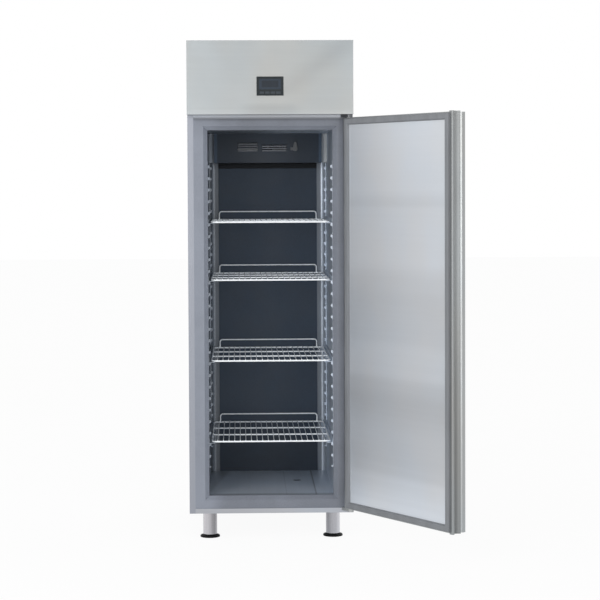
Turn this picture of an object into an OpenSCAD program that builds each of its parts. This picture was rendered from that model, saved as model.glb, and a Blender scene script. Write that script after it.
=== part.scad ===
// Upright catering refrigerator with one full-height door, shown standing open.
// Millimetres, +Z up, the front looks along -Y.
// The origin lies on the floor, in the middle of the four feet.

/* [Cabinet] */
// Width over the side panels
cab_w = 700; // [660:5:800]
// Depth from the front frame to the rear panel
cab_d = 748; // [700:4:860]
// Height of the underside above the floor
cab_z = 107; // [100:1:160]
// Height of the insulated box
box_h = 1697; // [1500:1:1800]
// Height of the machine compartment on top
unit_h = 310; // [270:5:400]
// Thickness of the outer and inner sheets
sheet = 1; // [0.8:0.1:1.5]
// Insulated side wall, outer face to inner face
wall_side = 82; // [60:1:100]
// Insulated rear wall
wall_rear = 60; // [50:1:90]
// Insulated floor
wall_floor = 72; // [60:1:90]
// Insulated ceiling
wall_roof = 61; // [55:1:90]
// Radius of the coves in the inner rear corners
cove_r = 25; // [15:1:40]

/* [Front frame] */
// Front return of the side panels
strip_w = 25; // [18:1:30]
// Bright lip under the front frame
lip_h = 20; // [12:1:26]
// Bright lip over the front frame
top_lip = 15; // [8:1:24]
// Sloping inner edge of the front frame
bevel_w = 17; // [10:1:22]
// Depth of the slope, from the frame's face to the throat
throat_d = 15.5; // [8:0.5:24]
// Wall of the frame moulding
frame_t = 2.5; // [2:0.5:4]
// Overhang of the frame over the inner lining
frame_over = 2; // [1:0.5:3]

/* [Legs and feet] */
// Distance of each foot's axis from the side of the cabinet
foot_inset_x = 86; // [60:1:110]
// Distance of each foot's axis from the front and the rear
foot_inset_y = 50; // [44:1:110]
// Diameter of a leg tube
leg_d = 60; // [40:1:70]
// Diameter of a foot's pad
pad_d = 84; // [60:1:90]
// Height of a foot's pad
pad_h = 12; // [10:1:24]
// Diameter of a foot's spindle
spindle_d = 16; // [12:1:20]

/* [Door] */
// Thickness of the door
door_t = 66; // [62:1:80]
// Gap between the door and the front frame, closed by the seal
seal_gap = 9.5; // [8:0.5:14]
// Gap between the door and the lower bracket, and the same above
door_gap = 2; // [1:0.5:4]
// Opening angle that the door stands at
door_open = 124; // [90:1:130]
// Distance of the hinge axis from the door's side
hinge_inset = 14; // [12:1:20]
// Distance of the hinge axis from the front frame
hinge_out = 32; // [26:1:40]
// Thickness of the hinge brackets
bracket_h = 12; // [10:1:20]
// Height of the lower bracket over the cabinet's underside
bracket_up = 10; // [0:1:14]
// Diameter of the hinge pins
pin_d = 12; // [8:1:14]
// Length of the hinge pins
pin_l = 24; // [16:1:30]
// Width of the finger groove in the door's free edge
groove_w = 38; // [30:1:40]
// Depth of the finger groove
groove_d = 18; // [12:1:26]
// Thickness of the door's front edge beside the groove
edge_t = 16; // [8:1:20]
// Width of the door seal
seal_w = 28; // [20:1:34]
// Distance of the seal from the door's edge
seal_inset = 12; // [12:1:20]
// Distance of the seal from the door's upper and lower ends
seal_end = 3; // [2:1:16]

/* [Shelves] */
// Pitch of the notches in the shelf posts
pitch = 49.5; // [40:0.5:60]
// Centre of the lowest tooth above the cabinet's inner floor
tooth_low = 170; // [120:1:200]
// Height of one tooth
tooth_h = 10.5; // [8:0.5:14]
// Reach of a tooth from the side wall
tooth_reach = 10; // [8:0.5:14]
// Tooth that the lowest shelf stands on, counted from the bottom
level_1 = 2; // [1:1:5]
// Tooth that the second shelf stands on
level_2 = 9; // [6:1:12]
// Tooth that the third shelf stands on
level_3 = 16; // [13:1:18]
// Tooth that the highest shelf stands on
level_4 = 21; // [19:1:24]
// Gap between a shelf and the air duct panel
shelf_back = 2.5; // [1:0.5:40]
// Distance of the shelf's front from the front frame
shelf_y = 38; // [36:1:60]
// Side clearance between a shelf and the posts
shelf_clear = 1.2; // [0.5:0.1:4]
// Diameter of the shelf's edge and cross rods
rod_d = 7; // [5:0.5:9]
// Diameter of the shelf's long wires
wire_d = 3.2; // [2.5:0.1:5]
// Number of long wires
wires = 20; // [12:1:24]
// Outer radius of the shelf's corners
shelf_r = 24; // [18:1:30]
// Height of the hoop at the shelf's rear
hoop_h = 37; // [25:1:50]
// Diameter of the hoop's wire
hoop_d = 6; // [4:0.5:7]
// Distance that a shelf slides out
shelf_slide = 320; // [200:10:400]

/* [Shelf supports] */
// Thickness of the posts and runners
post_t = 1.5; // [1:0.1:2]
// Width of a post along the wall
post_w = 28; // [20:1:36]
// Distance of the front post from the front frame
post_y = 30; // [26:1:34]
// Distance of the rear post from the cove
post_cove = 4; // [1:1:40]
// Width of a runner's ledge
ledge_w = 24; // [18:1:30]
// Height of a runner's upright
runner_h = 20; // [12:1:24]

/* [Air duct and evaporator] */
// Distance of the air duct panel from the side linings
duct_side = 41; // [30:1:120]
// Depth of the air duct panel
duct_d = 5.5; // [4:0.5:7]
// Distance of the evaporator cover from the side linings
cover_side = 24; // [18:1:90]
// Depth of the evaporator cover, from the rear lining
cover_d = 160; // [140:5:200]
// Height of the evaporator cover
cover_h = 133; // [120:1:135]
// Diameter of the evaporator fan
evap_fan_d = 92; // [70:2:96]
// Number of fins on the evaporator
evap_fins = 30; // [12:1:44]

/* [Machine compartment] */
// Distance that the fascia and the door stand ahead of the front frame
proud = 71.5; // [60:0.5:90]
// Length of the condenser across the cabinet
cond_w = 280; // [200:5:300]
// Height of the condenser
cond_h = 210; // [180:5:230]
// Depth of the condenser
cond_d = 66; // [44:2:80]
// Number of fins on the condenser
cond_fins = 36; // [16:1:60]
// Diameter of the condenser fan
cond_fan_d = 172; // [120:2:176]
// Diameter of the compressor's shell
comp_d = 156; // [130:2:170]
// Height of the compressor's shell
comp_h = 160; // [140:2:164]
// Diameter of the refrigerant pipes
pipe_d = 8; // [6:0.5:10]

/* [Controller] */
// Width of the controller's bezel
ctl_w = 113; // [90:1:130]
// Height of the controller's bezel
ctl_h = 80; // [60:1:90]
// Height of the controller's centre above the fascia's lower edge
ctl_z = 118; // [80:1:160]
// Width of one key
key_w = 18; // [12:1:20]
// Height of one key
key_h = 9; // [7:0.5:12]
// Travel of one key
key_travel = 1; // [0.6:0.1:1.5]
// Distance from one key to the next
key_pitch = 23; // [22:0.5:25]

/* [Hidden] */
$fn = 64;
eps = 0.01;
run = 0.05;          // radial running clearance of pins and shafts
seat = 0.3;          // clearance of what only stands in its seat

hw = cab_w / 2;
yf = -cab_d / 2;     // front frame plane
yr = cab_d / 2;      // rear face
deck_z = cab_z + box_h;
top_z = deck_z + unit_h;
in_hw = hw - wall_side;                 // half width between the linings
in_y0 = yf + throat_d;
in_y1 = yr - wall_rear;
in_z0 = cab_z + wall_floor;
in_z1 = deck_z - wall_roof;
open_hw = in_hw - frame_over;

hinge_x = hw - hinge_inset;
hinge_y = yf - hinge_out;
door_in = -seal_gap;                    // inner face, from the front frame plane
door_out = door_in - door_t;
bracket_z = cab_z + bracket_up;
door_z0 = bracket_z + bracket_h + door_gap;
door_z1 = deck_z - bracket_h - door_gap;
door_h = door_z1 - door_z0;
door_hw = hw - 0.5;
groove_x = -door_hw + groove_d;         // floor of the finger groove
groove_y = yf + door_out + edge_t + groove_w;   // side of the groove at the grip's lip
groove_flat = 10;
slope_y = groove_y - groove_flat;
slope_l = groove_w - groove_flat;
slope_lean = (sqrt(slope_l * slope_l + groove_d * groove_d) - slope_l) / groove_d;
bush_wall = 3;
bush_flange = door_gap - seat;

cover_z = in_z1 - cover_h;              // underside of the evaporator cover
teeth = floor((cover_z - in_z0 - tooth_low) / pitch) + 1;
post_z0 = in_z0 + tooth_low - pitch;
post_z1 = in_z0 + tooth_low + (teeth - 0.5) * pitch;
levels = [level_1, level_2, level_3, level_4];
function tooth_top(n) = in_z0 + tooth_low + (n - 1) * pitch + tooth_h / 2;
function shelf_z(i) = tooth_top(levels[i]) + post_t + rod_d / 2 + seat;   // centre of the edge rod
shelf_hw = in_hw - tooth_reach - shelf_clear;
shelf_y0 = yf + shelf_y;
shelf_y1 = in_y1 - duct_d - shelf_back;
edge_x = shelf_hw - rod_d / 2;          // centre of the shelf's side rods
wire_step = 2 * edge_x / (wires + 1);
post_rear_y = in_y1 - cove_r - post_w - post_cove;

throat_l = 12;       // return of the front frame along the inner lining
rebate_w = 5;        // rebate of the frame's upper and lower rails
rebate_d = 1.2;
weld = 0.6;          // depth to which a wire sinks into the rod that it is welded to
drain_d = 24;
drain_x = 122;
drain_front = 410;   // distance of the drain from the front frame
drain_y = yf + drain_front;
liner_y = in_y0 + frame_t;
cover_t = 2;         // wall of the evaporator cover
cover_half = in_hw - cover_side;
cover_y = in_y1 - cover_d;
duct_hw = in_hw - duct_side;
duct_way = 40;       // opening of the cover's floor over the air duct
coil_left = 36;      // room beside the evaporator coil, and the wider one on the right for its pipes
coil_right = 96;
coil_back = 48;      // gap between the evaporator coil and the rear lining
coil_d = 44;
coil_lift = 24;      // height of the coil over the cover's underside
coil_drop = 10;      // gap between the coil's fins and the ceiling
coil_h = cover_h - coil_lift - coil_drop;
coil_x0 = -cover_half + coil_left;
coil_w = 2 * cover_half - coil_left - coil_right;
coil_y0 = in_y1 - coil_back - coil_d;
fin_t = 0.6;         // fins, end plates and tubes of both coils
plate_t = 1.5;
tube_d = 9;
tube_out = 6;
liquid_x = coil_x0 + coil_w + coil_right / 2 + 2;   // the pipes beside the coil
liquid_y = coil_y0 + coil_d / 4;
suction_x = liquid_x + 14;
suction_y = coil_y0 + coil_d * 3 / 4;
slot_d = 56;         // way of the pipes through the roof
slot_x = (liquid_x + suction_x) / 2;
slot_y = (liquid_y + suction_y) / 2;

inlet_1_x = -138;    // the cover's inlet slots
inlet_1_w = 92;
inlet_2_x = -28;
inlet_2_w = 114;
inlet_z = 58;
inlet_pitch = 10;
inlet_slot = 4;
lamp_x = 113;
lamp_w = 21;
lamp_h = 42;
lamp_d = 14;
evap_fan_x = 0;
evap_fan_z = in_z1 - cover_h / 2 + 6;

comp_side = 150;     // the compressor stands at the rear right, that far from the side and the rear
comp_rear = 314;
comp_x = hw - comp_side;
comp_y = yr - comp_rear;
hot_x = comp_x + comp_d / 2 - 24;       // stubs on the compressor
hot_y = comp_y + 36;
cold_y = comp_y + 44;
comp_z = deck_z + 22;
foot_x = 72;
foot_y = 62;
cond_side = 50;      // the condenser stands at the front left, that far from the side and the front frame
cond_front = 24;
cond_x = -hw + cond_side + cond_w / 2;
cond_y = yf + cond_front;
cond_z = deck_z + 12;
cond_y1 = cond_y + cond_d + 26;
cond_zf = cond_z + cond_h / 2;
cond_rows = 8;
fan_in = 12;         // reach of the condenser fan into its orifice
shaft_d = 8;
evap_rows = 4;
drier_d = 24;
elec_w = 120;
elec_side = 110;     // distance of the electrical box from the casing's side
elec_x = hw - elec_side - elec_w;
elec_y = yf + 12;
elec_d = 150;
elec_h = 80;
lid_h = 10;
lid_over = 2;
gland_x = -200;
gland_z = deck_z + 20;
thread_d = 12;       // the gland's thread through the grille
thread_l = 12;
hex_h = 6;
cap_h = 10;
lead_d = 8;          // bore for the supply lead
win_w = 92;
win_z0 = -14;
win_z1 = 30;
key_z0 = -32;
function key_x(k) = (k - 2) * key_pitch + (key_pitch - key_w) / 2;

leg_gap = 1;         // between a foot's pad and its leg
leg_end = 12;        // thickness of a leg's closed lower end
leg_wall = 1.5;
spindle_l = 42;
plate_d = leg_d + 12; // bearing plate over a leg
plate_h = 6;
rim_w = 24;          // rim of the door pan round the inner lining, at the sides and at the ends
rim_end = 14;
grip_over = 4;       // the grip is longer than the pan at each end
grip_reach = 0.8;    // share of the groove's slope that the grip's plate covers

// A box from one corner to the opposite one
module slab(a, b) {
    translate(a) cube([b[0] - a[0], b[1] - a[1], b[2] - a[2]]);
}

// Both sides, the second one mirrored
module both_sides() {
    children();
    mirror([1, 0, 0]) children();
}

// An upright extrusion between two heights
module upright(z0, z1) {
    translate([0, 0, z0]) linear_extrude(z1 - z0) children();
}

// Flat outline of a slot with round ends, w between the ends' centres and d wide
module round_slot(w, d) {
    square([w, d], center = true);
    for (k = [-1, 1]) translate([k * w / 2, 0]) circle(d = d);
}

// A round rod from a to b
module rod(a, b, d) {
    v = b - a;
    len = norm(v);
    yaw = atan2(v[1], v[0]);
    tilt = acos(v[2] / len);
    translate(a) rotate([0, tilt, yaw]) cylinder(d = d, h = len);
}

// A quarter bend about c, from the direction u to the direction w, both of length one
module bend(c, u, w, r, d) {
    n = cross(u, w);
    multmatrix([[u[0], w[0], n[0], c[0]], [u[1], w[1], n[1], c[1]], [u[2], w[2], n[2], c[2]]])
        rotate_extrude(angle = 90, $fn = 32) translate([r, 0]) circle(d = d, $fn = 16);
}

function unit(v) = v / norm(v);

// A rod through a list of points with a bend of radius r at each inner one
module bent_rod(p, d, r) {
    last = len(p) - 1;
    for (i = [0 : last - 1]) {
        t = unit(p[i + 1] - p[i]);
        a = i == 0 ? p[i] : p[i] + t * r;
        b = i == last - 1 ? p[i + 1] : p[i + 1] - t * r;
        rod(a, b, d);
    }
    for (i = [1 : last - 1]) {
        t0 = unit(p[i] - p[i - 1]);
        t1 = unit(p[i + 1] - p[i]);
        bend(p[i] - t0 * r + t1 * r, -t1, t0, r, d);
    }
}

// Outer casing

// Plan of a side panel: front return, side and rear return in one folded sheet
module side_plan() {
    polygon([[hw, yf], [hw, yr], [hw - strip_w, yr], [hw - strip_w, yr - sheet],
        [hw - sheet, yr - sheet], [hw - sheet, yf + sheet], [hw - strip_w, yf + sheet],
        [hw - strip_w, yf]]);
}
module side_panel() {
    color("lightgray") upright(cab_z, top_z) side_plan();
}
module side_panel_left() mirror([1, 0, 0]) side_panel();
module side_panel_right() side_panel();

// Rear sheet with three pressed stiffening ribs
module rear_panel() {
    rib_w = 60;
    rib_d = 6;
    w = hw - strip_w;
    color("gainsboro") difference() {
        slab([-w, yr - sheet, cab_z], [w, yr, deck_z]);
        for (x = [-w / 2, 0, w / 2])
            slab([x - rib_w / 2, yr - sheet / 2, cab_z + rib_w], [x + rib_w / 2, yr + rib_d, deck_z - rib_w]);
    }
}

// Base pan with its front lip and a bearing plate over each leg
module base_pan() {
    x = hw - sheet;
    y0 = yf + sheet;
    color("silver") difference() {
        union() {
            slab([-x, y0, cab_z], [x, yr - sheet, cab_z + sheet]);
            slab([-hw + strip_w, yf, cab_z], [hw - strip_w, yf + sheet, cab_z + lip_h]);
            for (sx = [-1, 1]) for (sy = [-1, 1])
                translate([sx * (hw - foot_inset_x), sy * (cab_d / 2 - foot_inset_y), cab_z])
                    cylinder(d = plate_d, h = plate_h);
        }
        drain_bore(drain_d + 2 * sheet + 2 * run);
    }
}

// Roof of the insulated box: the deck that carries the cooling unit, with its front lip
module roof_deck() {
    x = hw - sheet;
    color("silver") difference() {
        union() {
            slab([-x, yf + sheet, deck_z - sheet], [x, yr - sheet, deck_z]);
            slab([-hw + strip_w, yf, deck_z - top_lip], [hw - strip_w, yf + sheet, deck_z]);
        }
        pipe_slot();
    }
}

// Way of the refrigerant pipes and the fan's lead through the roof
module pipe_slot() {
    translate([slot_x, slot_y, in_z1 - 3 * sheet]) cylinder(d = slot_d, h = wall_roof + 6 * sheet);
}

// Section of the front frame moulding, from the throat outwards: x away from the opening, y to the rear
module frame_section(w) {
    k = frame_t * (sqrt(bevel_w * bevel_w + throat_d * throat_d) - throat_d) / bevel_w;
    polygon([[w, 0], [bevel_w, 0], [0, throat_d], [0, throat_d + throat_l], [frame_over, throat_d + throat_l],
        [frame_over, throat_d + frame_t], [bevel_w + k, frame_t], [w, frame_t]]);
}

// Frame round the door opening: four mitred lengths
module breaker_frame() {
    ws = wall_side + frame_over - strip_w;
    wb = wall_floor + frame_over - lip_h;
    wt = wall_roof + frame_over - top_lip;
    z0 = in_z0 + frame_over;
    z1 = in_z1 - frame_over;
    zc = (z0 + z1) / 2;
    zh = (z1 - z0) / 2;
    color("darkgray") translate([0, yf, 0]) {
        for (s = [0, 1]) mirror([s, 0, 0]) intersection() {
            upright(z0 - ws, z1 + ws) translate([open_hw, 0]) frame_section(ws);
            frame_wedge(zc, zh, ws, wb, wt);
        }
        difference() {
            frame_rail(z0, -1, wb);
            both_sides() frame_wedge(zc, zh, ws, wb, wt);
        }
        difference() {
            frame_rail(z1, 1, wt);
            both_sides() frame_wedge(zc, zh, ws, wb, wt);
        }
    }
}

// Top or bottom rail of the frame before its mitres, s = 1 at the top, with a rebate along the bright lip
module frame_rail(z, s, w) {
    x = hw - strip_w;
    translate([x, 0, z]) rotate([0, -90, 0]) linear_extrude(2 * x)
        scale([s, 1]) difference() {
            frame_section(w);
            translate([w - rebate_w, -1]) square([rebate_w + 1, rebate_d + 1]);
        }
}

// Space of the right-hand side of the frame, between its two mitres
module frame_wedge(zc, zh, ws, wb, wt) {
    translate([0, -1, 0]) rotate([-90, 0, 0]) linear_extrude(throat_d + throat_l + 2)
        polygon([[open_hw, -(zc + zh)], [open_hw + ws, -(zc + zh + wt)], [open_hw + ws, -(zc - zh - wb)],
            [open_hw, -(zc - zh)]]);
}

// Insulation between the casing and the lining, foamed round the frame
module foam_body() {
    x = hw - sheet;
    y0 = yf + frame_t;
    fx = open_hw + bevel_w + 2 * frame_t;
    fz = bevel_w + 2 * frame_t - frame_over;
    color("khaki") difference() {
        slab([-x, y0, cab_z + sheet], [x, yr - sheet, deck_z - sheet]);
        slab([-in_hw - sheet, y0 - 1, in_z0 - sheet], [in_hw + sheet, in_y1 + sheet, in_z1 + sheet]);
        slab([-fx, y0 - 1, in_z0 - fz], [fx, in_y0 + throat_l, in_z1 + fz]);
        pipe_slot();
        drain_bore(drain_d + 2 * sheet + 2 * run);
        for (sx = [-1, 1]) for (sy = [-1, 1])
            translate([sx * (hw - foot_inset_x), sy * (cab_d / 2 - foot_inset_y), cab_z])
                cylinder(d = plate_d, h = plate_h);
    }
}

// Inner lining

// Side linings
module liner_sides() {
    color("lightgray") both_sides()
        slab([in_hw, liner_y, in_z0], [in_hw + sheet, in_y1 - cove_r, in_z1]);
}

// Rear lining: the flat sheet and a cove up each corner
module liner_back() {
    color("lightgray") {
        slab([-in_hw + cove_r, in_y1, in_z0], [in_hw - cove_r, in_y1 + sheet, in_z1]);
        both_sides() upright(in_z0, in_z1) intersection() {
            translate([in_hw - cove_r, in_y1 - cove_r]) difference() {
                circle(r = cove_r + sheet);
                circle(r = cove_r);
            }
            translate([in_hw - cove_r, in_y1 - cove_r]) square(cove_r + sheet);
        }
    }
}

// Ceiling lining with the holes of the unit's pipes
module liner_ceiling() {
    color("lightgray") difference() {
        slab([-in_hw - sheet, liner_y, in_z1], [in_hw + sheet, in_y1 + sheet, in_z1 + sheet]);
        pipe_slot();
    }
}

// Bore of the floor drain
module drain_bore(d) {
    translate([drain_x, drain_y, cab_z - 7]) cylinder(d = d, h = wall_floor + 8);
}

// Floor lining with the spout of its drain
module liner_floor() {
    color("lightgray") difference() {
        union() {
            slab([-in_hw - sheet, liner_y, in_z0 - sheet], [in_hw + sheet, in_y1 + sheet, in_z0]);
            translate([drain_x, drain_y, cab_z - 6]) cylinder(d = drain_d + 2 * sheet, h = wall_floor + 5);
        }
        drain_bore(drain_d);
    }
}

// Shelf posts, runners and shelves

// Plan of a post: the plate on the wall and the toothed lip folded off its front edge
module post_plate(y) {
    slab([in_hw - post_t, y, post_z0], [in_hw, y + post_w, post_z1]);
}

// Lip of a post with a notch above each tooth: flat where a runner seats, round above
module post_lip(y) {
    deep = tooth_reach - 2 * post_t;
    r = deep;
    difference() {
        slab([in_hw - tooth_reach, y, post_z0], [in_hw - post_t, y + post_t, post_z1]);
        for (n = [0 : teeth]) {
            z = tooth_top(n);
            gap = pitch - tooth_h;
            x = in_hw - tooth_reach;
            translate([0, y - 1, 0]) {
                slab([x - 1, 0, z], [x + deep, post_t + 2, z + gap - r]);
                slab([x - 1, 0, z + gap - r - eps], [x, post_t + 2, z + gap]);
                intersection() {
                    translate([x, 0, z + gap - r]) rotate([-90, 0, 0]) cylinder(r = r, h = post_t + 2);
                    slab([x - eps, 0, z + gap - r - eps], [x + r + 1, post_t + 2, z + gap + 1]);
                }
            }
        }
    }
}
module post(y) {
    union() {
        post_plate(y);
        post_lip(y);
    }
}
module posts() {
    color("gainsboro") {
        post(yf + post_y);
        post(post_rear_y);
    }
}
module posts_left() mirror([1, 0, 0]) posts();
module posts_right() posts();

// A runner stands on the teeth of both posts, its upright inside their notches
module runner(z) {
    x1 = in_hw - 2 * post_t - seat;
    y0 = yf + post_y - 2;
    y1 = post_rear_y + post_w;
    slab([x1 - ledge_w, y0, z], [x1, y1, z + post_t]);
    slab([x1 - post_t, y0, z], [x1, y1, z + runner_h]);
}
module runners() {
    color("silver") for (n = levels) runner(tooth_top(n));
}
module runners_left() mirror([1, 0, 0]) runners();
module runners_right() runners();

// A wire shelf: a round-cornered rod loop, cross rods at thirds and long wires on top
module shelf(i) {
    z = shelf_z(i);
    x = edge_x;
    y0 = shelf_y0 + rod_d / 2;
    y1 = shelf_y1 - rod_d / 2;
    r = shelf_r - rod_d / 2;
    wz = z + rod_d / 2 + wire_d / 2 - weld;
    color("white") union() {
        for (s = [-1, 1]) rod([s * x, y0 + r, z], [s * x, y1 - r, z], rod_d);
        for (y = [y0, y1]) rod([-x + r, y, z], [x - r, y, z], rod_d);
        for (c = [[x, y0, 1, -1], [x, y1, 1, 1], [-x, y0, -1, -1], [-x, y1, -1, 1]])
            translate([c[0] - c[2] * r, c[1] - c[3] * r, z])
                rotate([0, 0, c[2] > 0 ? (c[3] > 0 ? 0 : -90) : (c[3] > 0 ? 90 : 180)])
                    rotate_extrude(angle = 90) translate([r, 0]) circle(d = rod_d);
        for (k = [1, 2]) rod([-x, y0 + (y1 - y0) * k / 3, z], [x, y0 + (y1 - y0) * k / 3, z], rod_d - 1);
        for (k = [1 : wires]) rod([-x + k * wire_step, y0, wz], [-x + k * wire_step, y1, wz], wire_d);
    }
}

// Hoop welded on the rear rod of a shelf beside its outermost wires, a stop for what stands on it
module hoop(i) {
    z0 = shelf_z(i) + rod_d / 2;
    x = edge_x - wire_step - wire_d / 2 - seat - hoop_d / 2;
    y = shelf_y1 - rod_d / 2;
    z1 = z0 + hoop_h - hoop_d / 2;
    color("white") bent_rod([[-x, y, z0], [-x, y, z1], [x, y, z1], [x, y, z0]], hoop_d, 2 * hoop_d);
}
module shelf_1() shelf(0);
module shelf_2() shelf(1);
module shelf_3() shelf(2);
module shelf_4() shelf(3);
module hoop_1() hoop(0);
module hoop_2() hoop(1);
module hoop_3() hoop(2);
module hoop_4() hoop(3);

// Air duct and evaporator

// Shallow tray on the rear wall, open at the top, with rows of air slots in its sides
module air_duct_panel() {
    x = duct_hw;
    y = in_y1 - duct_d;
    z0 = in_z0 + seat;
    z1 = cover_z - seat;
    slot_h = 90;
    rows = 6;
    color("slategray") difference() {
        slab([-x, y, z0], [x, in_y1, z1]);
        slab([-x + sheet, y + sheet, z0 + sheet], [x - sheet, in_y1 + 1, z1 + 1]);
        for (r = [0 : rows - 1]) {
            z = z0 + (z1 - z0) * (r + 0.5) / rows;
            slab([-x - 1, y + 2 * sheet, z - slot_h / 2], [x + 1, in_y1 - sheet, z + slot_h / 2]);
        }
    }
}

// Cover under the ceiling: front, sides and floor, with the inlet slots in the front
module evaporator_cover() {
    color("darkslategray") difference() {
        slab([-cover_half, cover_y, cover_z], [cover_half, in_y1, in_z1]);
        slab([-cover_half + cover_t, cover_y + cover_t, cover_z + cover_t],
            [cover_half - cover_t, in_y1, in_z1 + 1]);
        slab([-duct_hw, in_y1 - duct_way, cover_z - 1], [duct_hw, in_y1, cover_z + cover_t + 1]);
        for (k = [0 : 3]) cover_slot(inlet_1_x, inlet_1_w, cover_z + inlet_z + k * inlet_pitch);
        for (k = [0 : 2]) cover_slot(inlet_2_x, inlet_2_w, cover_z + inlet_z + k * inlet_pitch);
    }
}
module cover_slot(x, w, z) {
    slab([x, cover_y - 1, z], [x + w, cover_y + cover_t + 1, z + inlet_slot]);
}

// Finned coil behind the fan, hung from the ceiling by its end plates
module evaporator_coil() {
    finned_coil(coil_x0, coil_y0, cover_z + coil_lift, coil_w, coil_d, coil_h, evap_fins, 2, evap_rows,
        cover_z + coil_lift, in_z1);
}

// Fins across rows of tubes, cols deep and rows high, an even number. The tubes are joined into one run
// by bends, which starts and ends on the right. The end plates reach from plate_z0 to plate_z1.
module finned_coil(x0, y0, z0, w, d, h, fins, cols, rows, plate_z0, plate_z1) {
    px = d / cols;
    pz = h / rows;
    step = w / (fins + 1);
    x1 = x0 + w;
    color("silver") union() {
        for (k = [1 : fins])
            slab([x0 + k * step - fin_t / 2, y0, z0], [x0 + k * step + fin_t / 2, y0 + d, z0 + h]);
        for (x = [x0, x1 - plate_t])
            slab([x, y0 - plate_t, plate_z0], [x + plate_t, y0 + d + plate_t, plate_z1]);
        for (c = [0 : cols - 1]) {
            y = y0 + (c + 0.5) * px;
            for (r = [0 : rows - 1])
                rod([x0 - tube_out, y, z0 + (r + 0.5) * pz], [x1 + tube_out, y, z0 + (r + 0.5) * pz], tube_d);
            for (r = [0 : rows - 2]) {
                left = r % 2 == 0;
                end = left ? x0 - tube_out : x1 + tube_out;
                coil_bend([end, y, z0 + (r + 1) * pz], left ? -1 : 1, [0, 0, 1], pz / 2);
            }
            step_z = z0 + (c % 2 == 0 ? 0.5 : rows - 0.5) * pz;
            if (c < cols - 1) coil_bend([x1 + tube_out, y + px / 2, step_z], 1, [0, 1, 0], px / 2);
        }
    }
}

// Half-turn bend about c let into two tubes r away on either side along u; s = 1 on the right
module coil_bend(c, s, u, r) {
    n = cross([s, 0, 0], u);
    multmatrix([[u[0], s, -n[0], c[0]], [u[1], 0, -n[1], c[1]], [u[2], 0, -n[2], c[2]]])
        rotate_extrude(angle = 180, $fn = 32) translate([r, 0]) circle(d = tube_d - 1, $fn = 16);
}

// Motor of the evaporator fan on its bracket
module evaporator_motor() {
    d = 44;
    color("dimgray") union() {
        translate([evap_fan_x, cover_y + 46, evap_fan_z]) rotate([-90, 0, 0]) cylinder(d = d, h = 20);
        slab([evap_fan_x - 8, cover_y + 54, evap_fan_z], [evap_fan_x + 8, cover_y + 60, in_z1]);
        translate([evap_fan_x, cover_y + 24, evap_fan_z]) rotate([-90, 0, 0]) cylinder(d = 5, h = 24);
    }
}

// Axial fan: a hub with bored centre and pitched blades, the axis along Y
module axial_fan(x, y, z, d, depth, hub, bore, blades) {
    translate([x, y, z]) rotate([-90, 0, 0]) difference() {
        union() {
            cylinder(d = hub, h = depth);
            intersection() {
                for (k = [0 : blades - 1]) rotate(k * 360 / blades)
                    translate([0, 0, depth / 2]) rotate([35, 0, 0])
                        translate([0, -depth * 0.62, -0.9]) cube([d, depth * 1.24, 1.8]);
                cylinder(d = d, h = depth);
            }
        }
        translate([0, 0, -1]) cylinder(d = bore, h = depth + 2);
    }
}
module evaporator_fan() {
    color("black") axial_fan(evap_fan_x, cover_y + 26, evap_fan_z, evap_fan_d, 16, 26, 5 + 2 * run, 7);
}

// Tray under the coil that catches the defrost water
module drip_tray() {
    x = cover_half - 12;
    y0 = coil_y0 - 12;
    y1 = in_y1 - duct_way - 4;
    z = cover_z + cover_t;
    color("silver") difference() {
        slab([-x, y0, z], [x, y1, z + 20]);
        slab([-x + sheet, y0 + sheet, z + sheet], [x - sheet, y1 - sheet, z + 21]);
    }
}

// Lamp on the front of the evaporator cover: an upright case that narrows upwards, with its lead's boss
module interior_lamp() {
    z = cover_z + inlet_z - 6;
    r = lamp_w / 2;
    tip = r * 0.6;
    a = asin((r - tip) / (lamp_h - tip - r));
    c = cos(a);
    z0 = r + r * sin(a);
    z1 = lamp_h - tip + tip * sin(a);
    color("gray") union() {
        translate([lamp_x + r, cover_y, z]) rotate([90, 0, 0]) linear_extrude(lamp_d) {
            translate([0, r]) circle(r = r);
            translate([0, lamp_h - tip]) circle(r = tip);
            polygon([[-r * c, z0], [r * c, z0], [tip * c, z1], [-tip * c, z1]]);
        }
        slab([lamp_x - r, cover_y - lamp_d / 2, z + 4], [lamp_x + r, cover_y, z + 18]);
    }
}

// Machine compartment

// Fascia: front sheet with side returns back to the casing, a top flange and a bottom lip
module fascia_panel() {
    x = hw;
    y0 = yf - proud;
    z0 = deck_z;
    color("lightgray") difference() {
        union() {
            slab([-x, y0, z0], [x, y0 + sheet, top_z]);
            both_sides() slab([x - sheet, y0, z0], [x, yf, top_z]);
            slab([-x, y0, top_z - sheet], [x, y0 + 30, top_z]);
            slab([-x, y0, z0], [x, yf, z0 + sheet]);
        }
        slab([-ctl_w / 2 + 4, y0 - 1, z0 + ctl_z - ctl_h / 2 + 4],
            [ctl_w / 2 - 4, y0 + 2, z0 + ctl_z + ctl_h / 2 - 4]);
    }
}

// Upright sheet with louvre slots that closes the compartment behind
module rear_grille() {
    x = hw - strip_w;
    rows = 12;
    margin = 40;
    foot_l = 14;
    slot_h = 9;
    color("lightgray") difference() {
        union() {
            slab([-x, yr - sheet, deck_z], [x, yr, top_z - 4]);
            slab([-x, yr - foot_l, deck_z], [x, yr, deck_z + sheet]);
        }
        for (r = [0 : rows - 1]) for (c = [-1.5 : 1.5])
            translate([c * x / 2, yr - 3, deck_z + margin + r * (unit_h - 2 * margin) / (rows - 1)])
                rotate([-90, 0, 0]) linear_extrude(6) round_slot(x / 2 - margin, slot_h);
        translate([gland_x, yr - 3, gland_z]) rotate([-90, 0, 0]) cylinder(d = thread_d + 2 * run, h = 6);
    }
}

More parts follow.
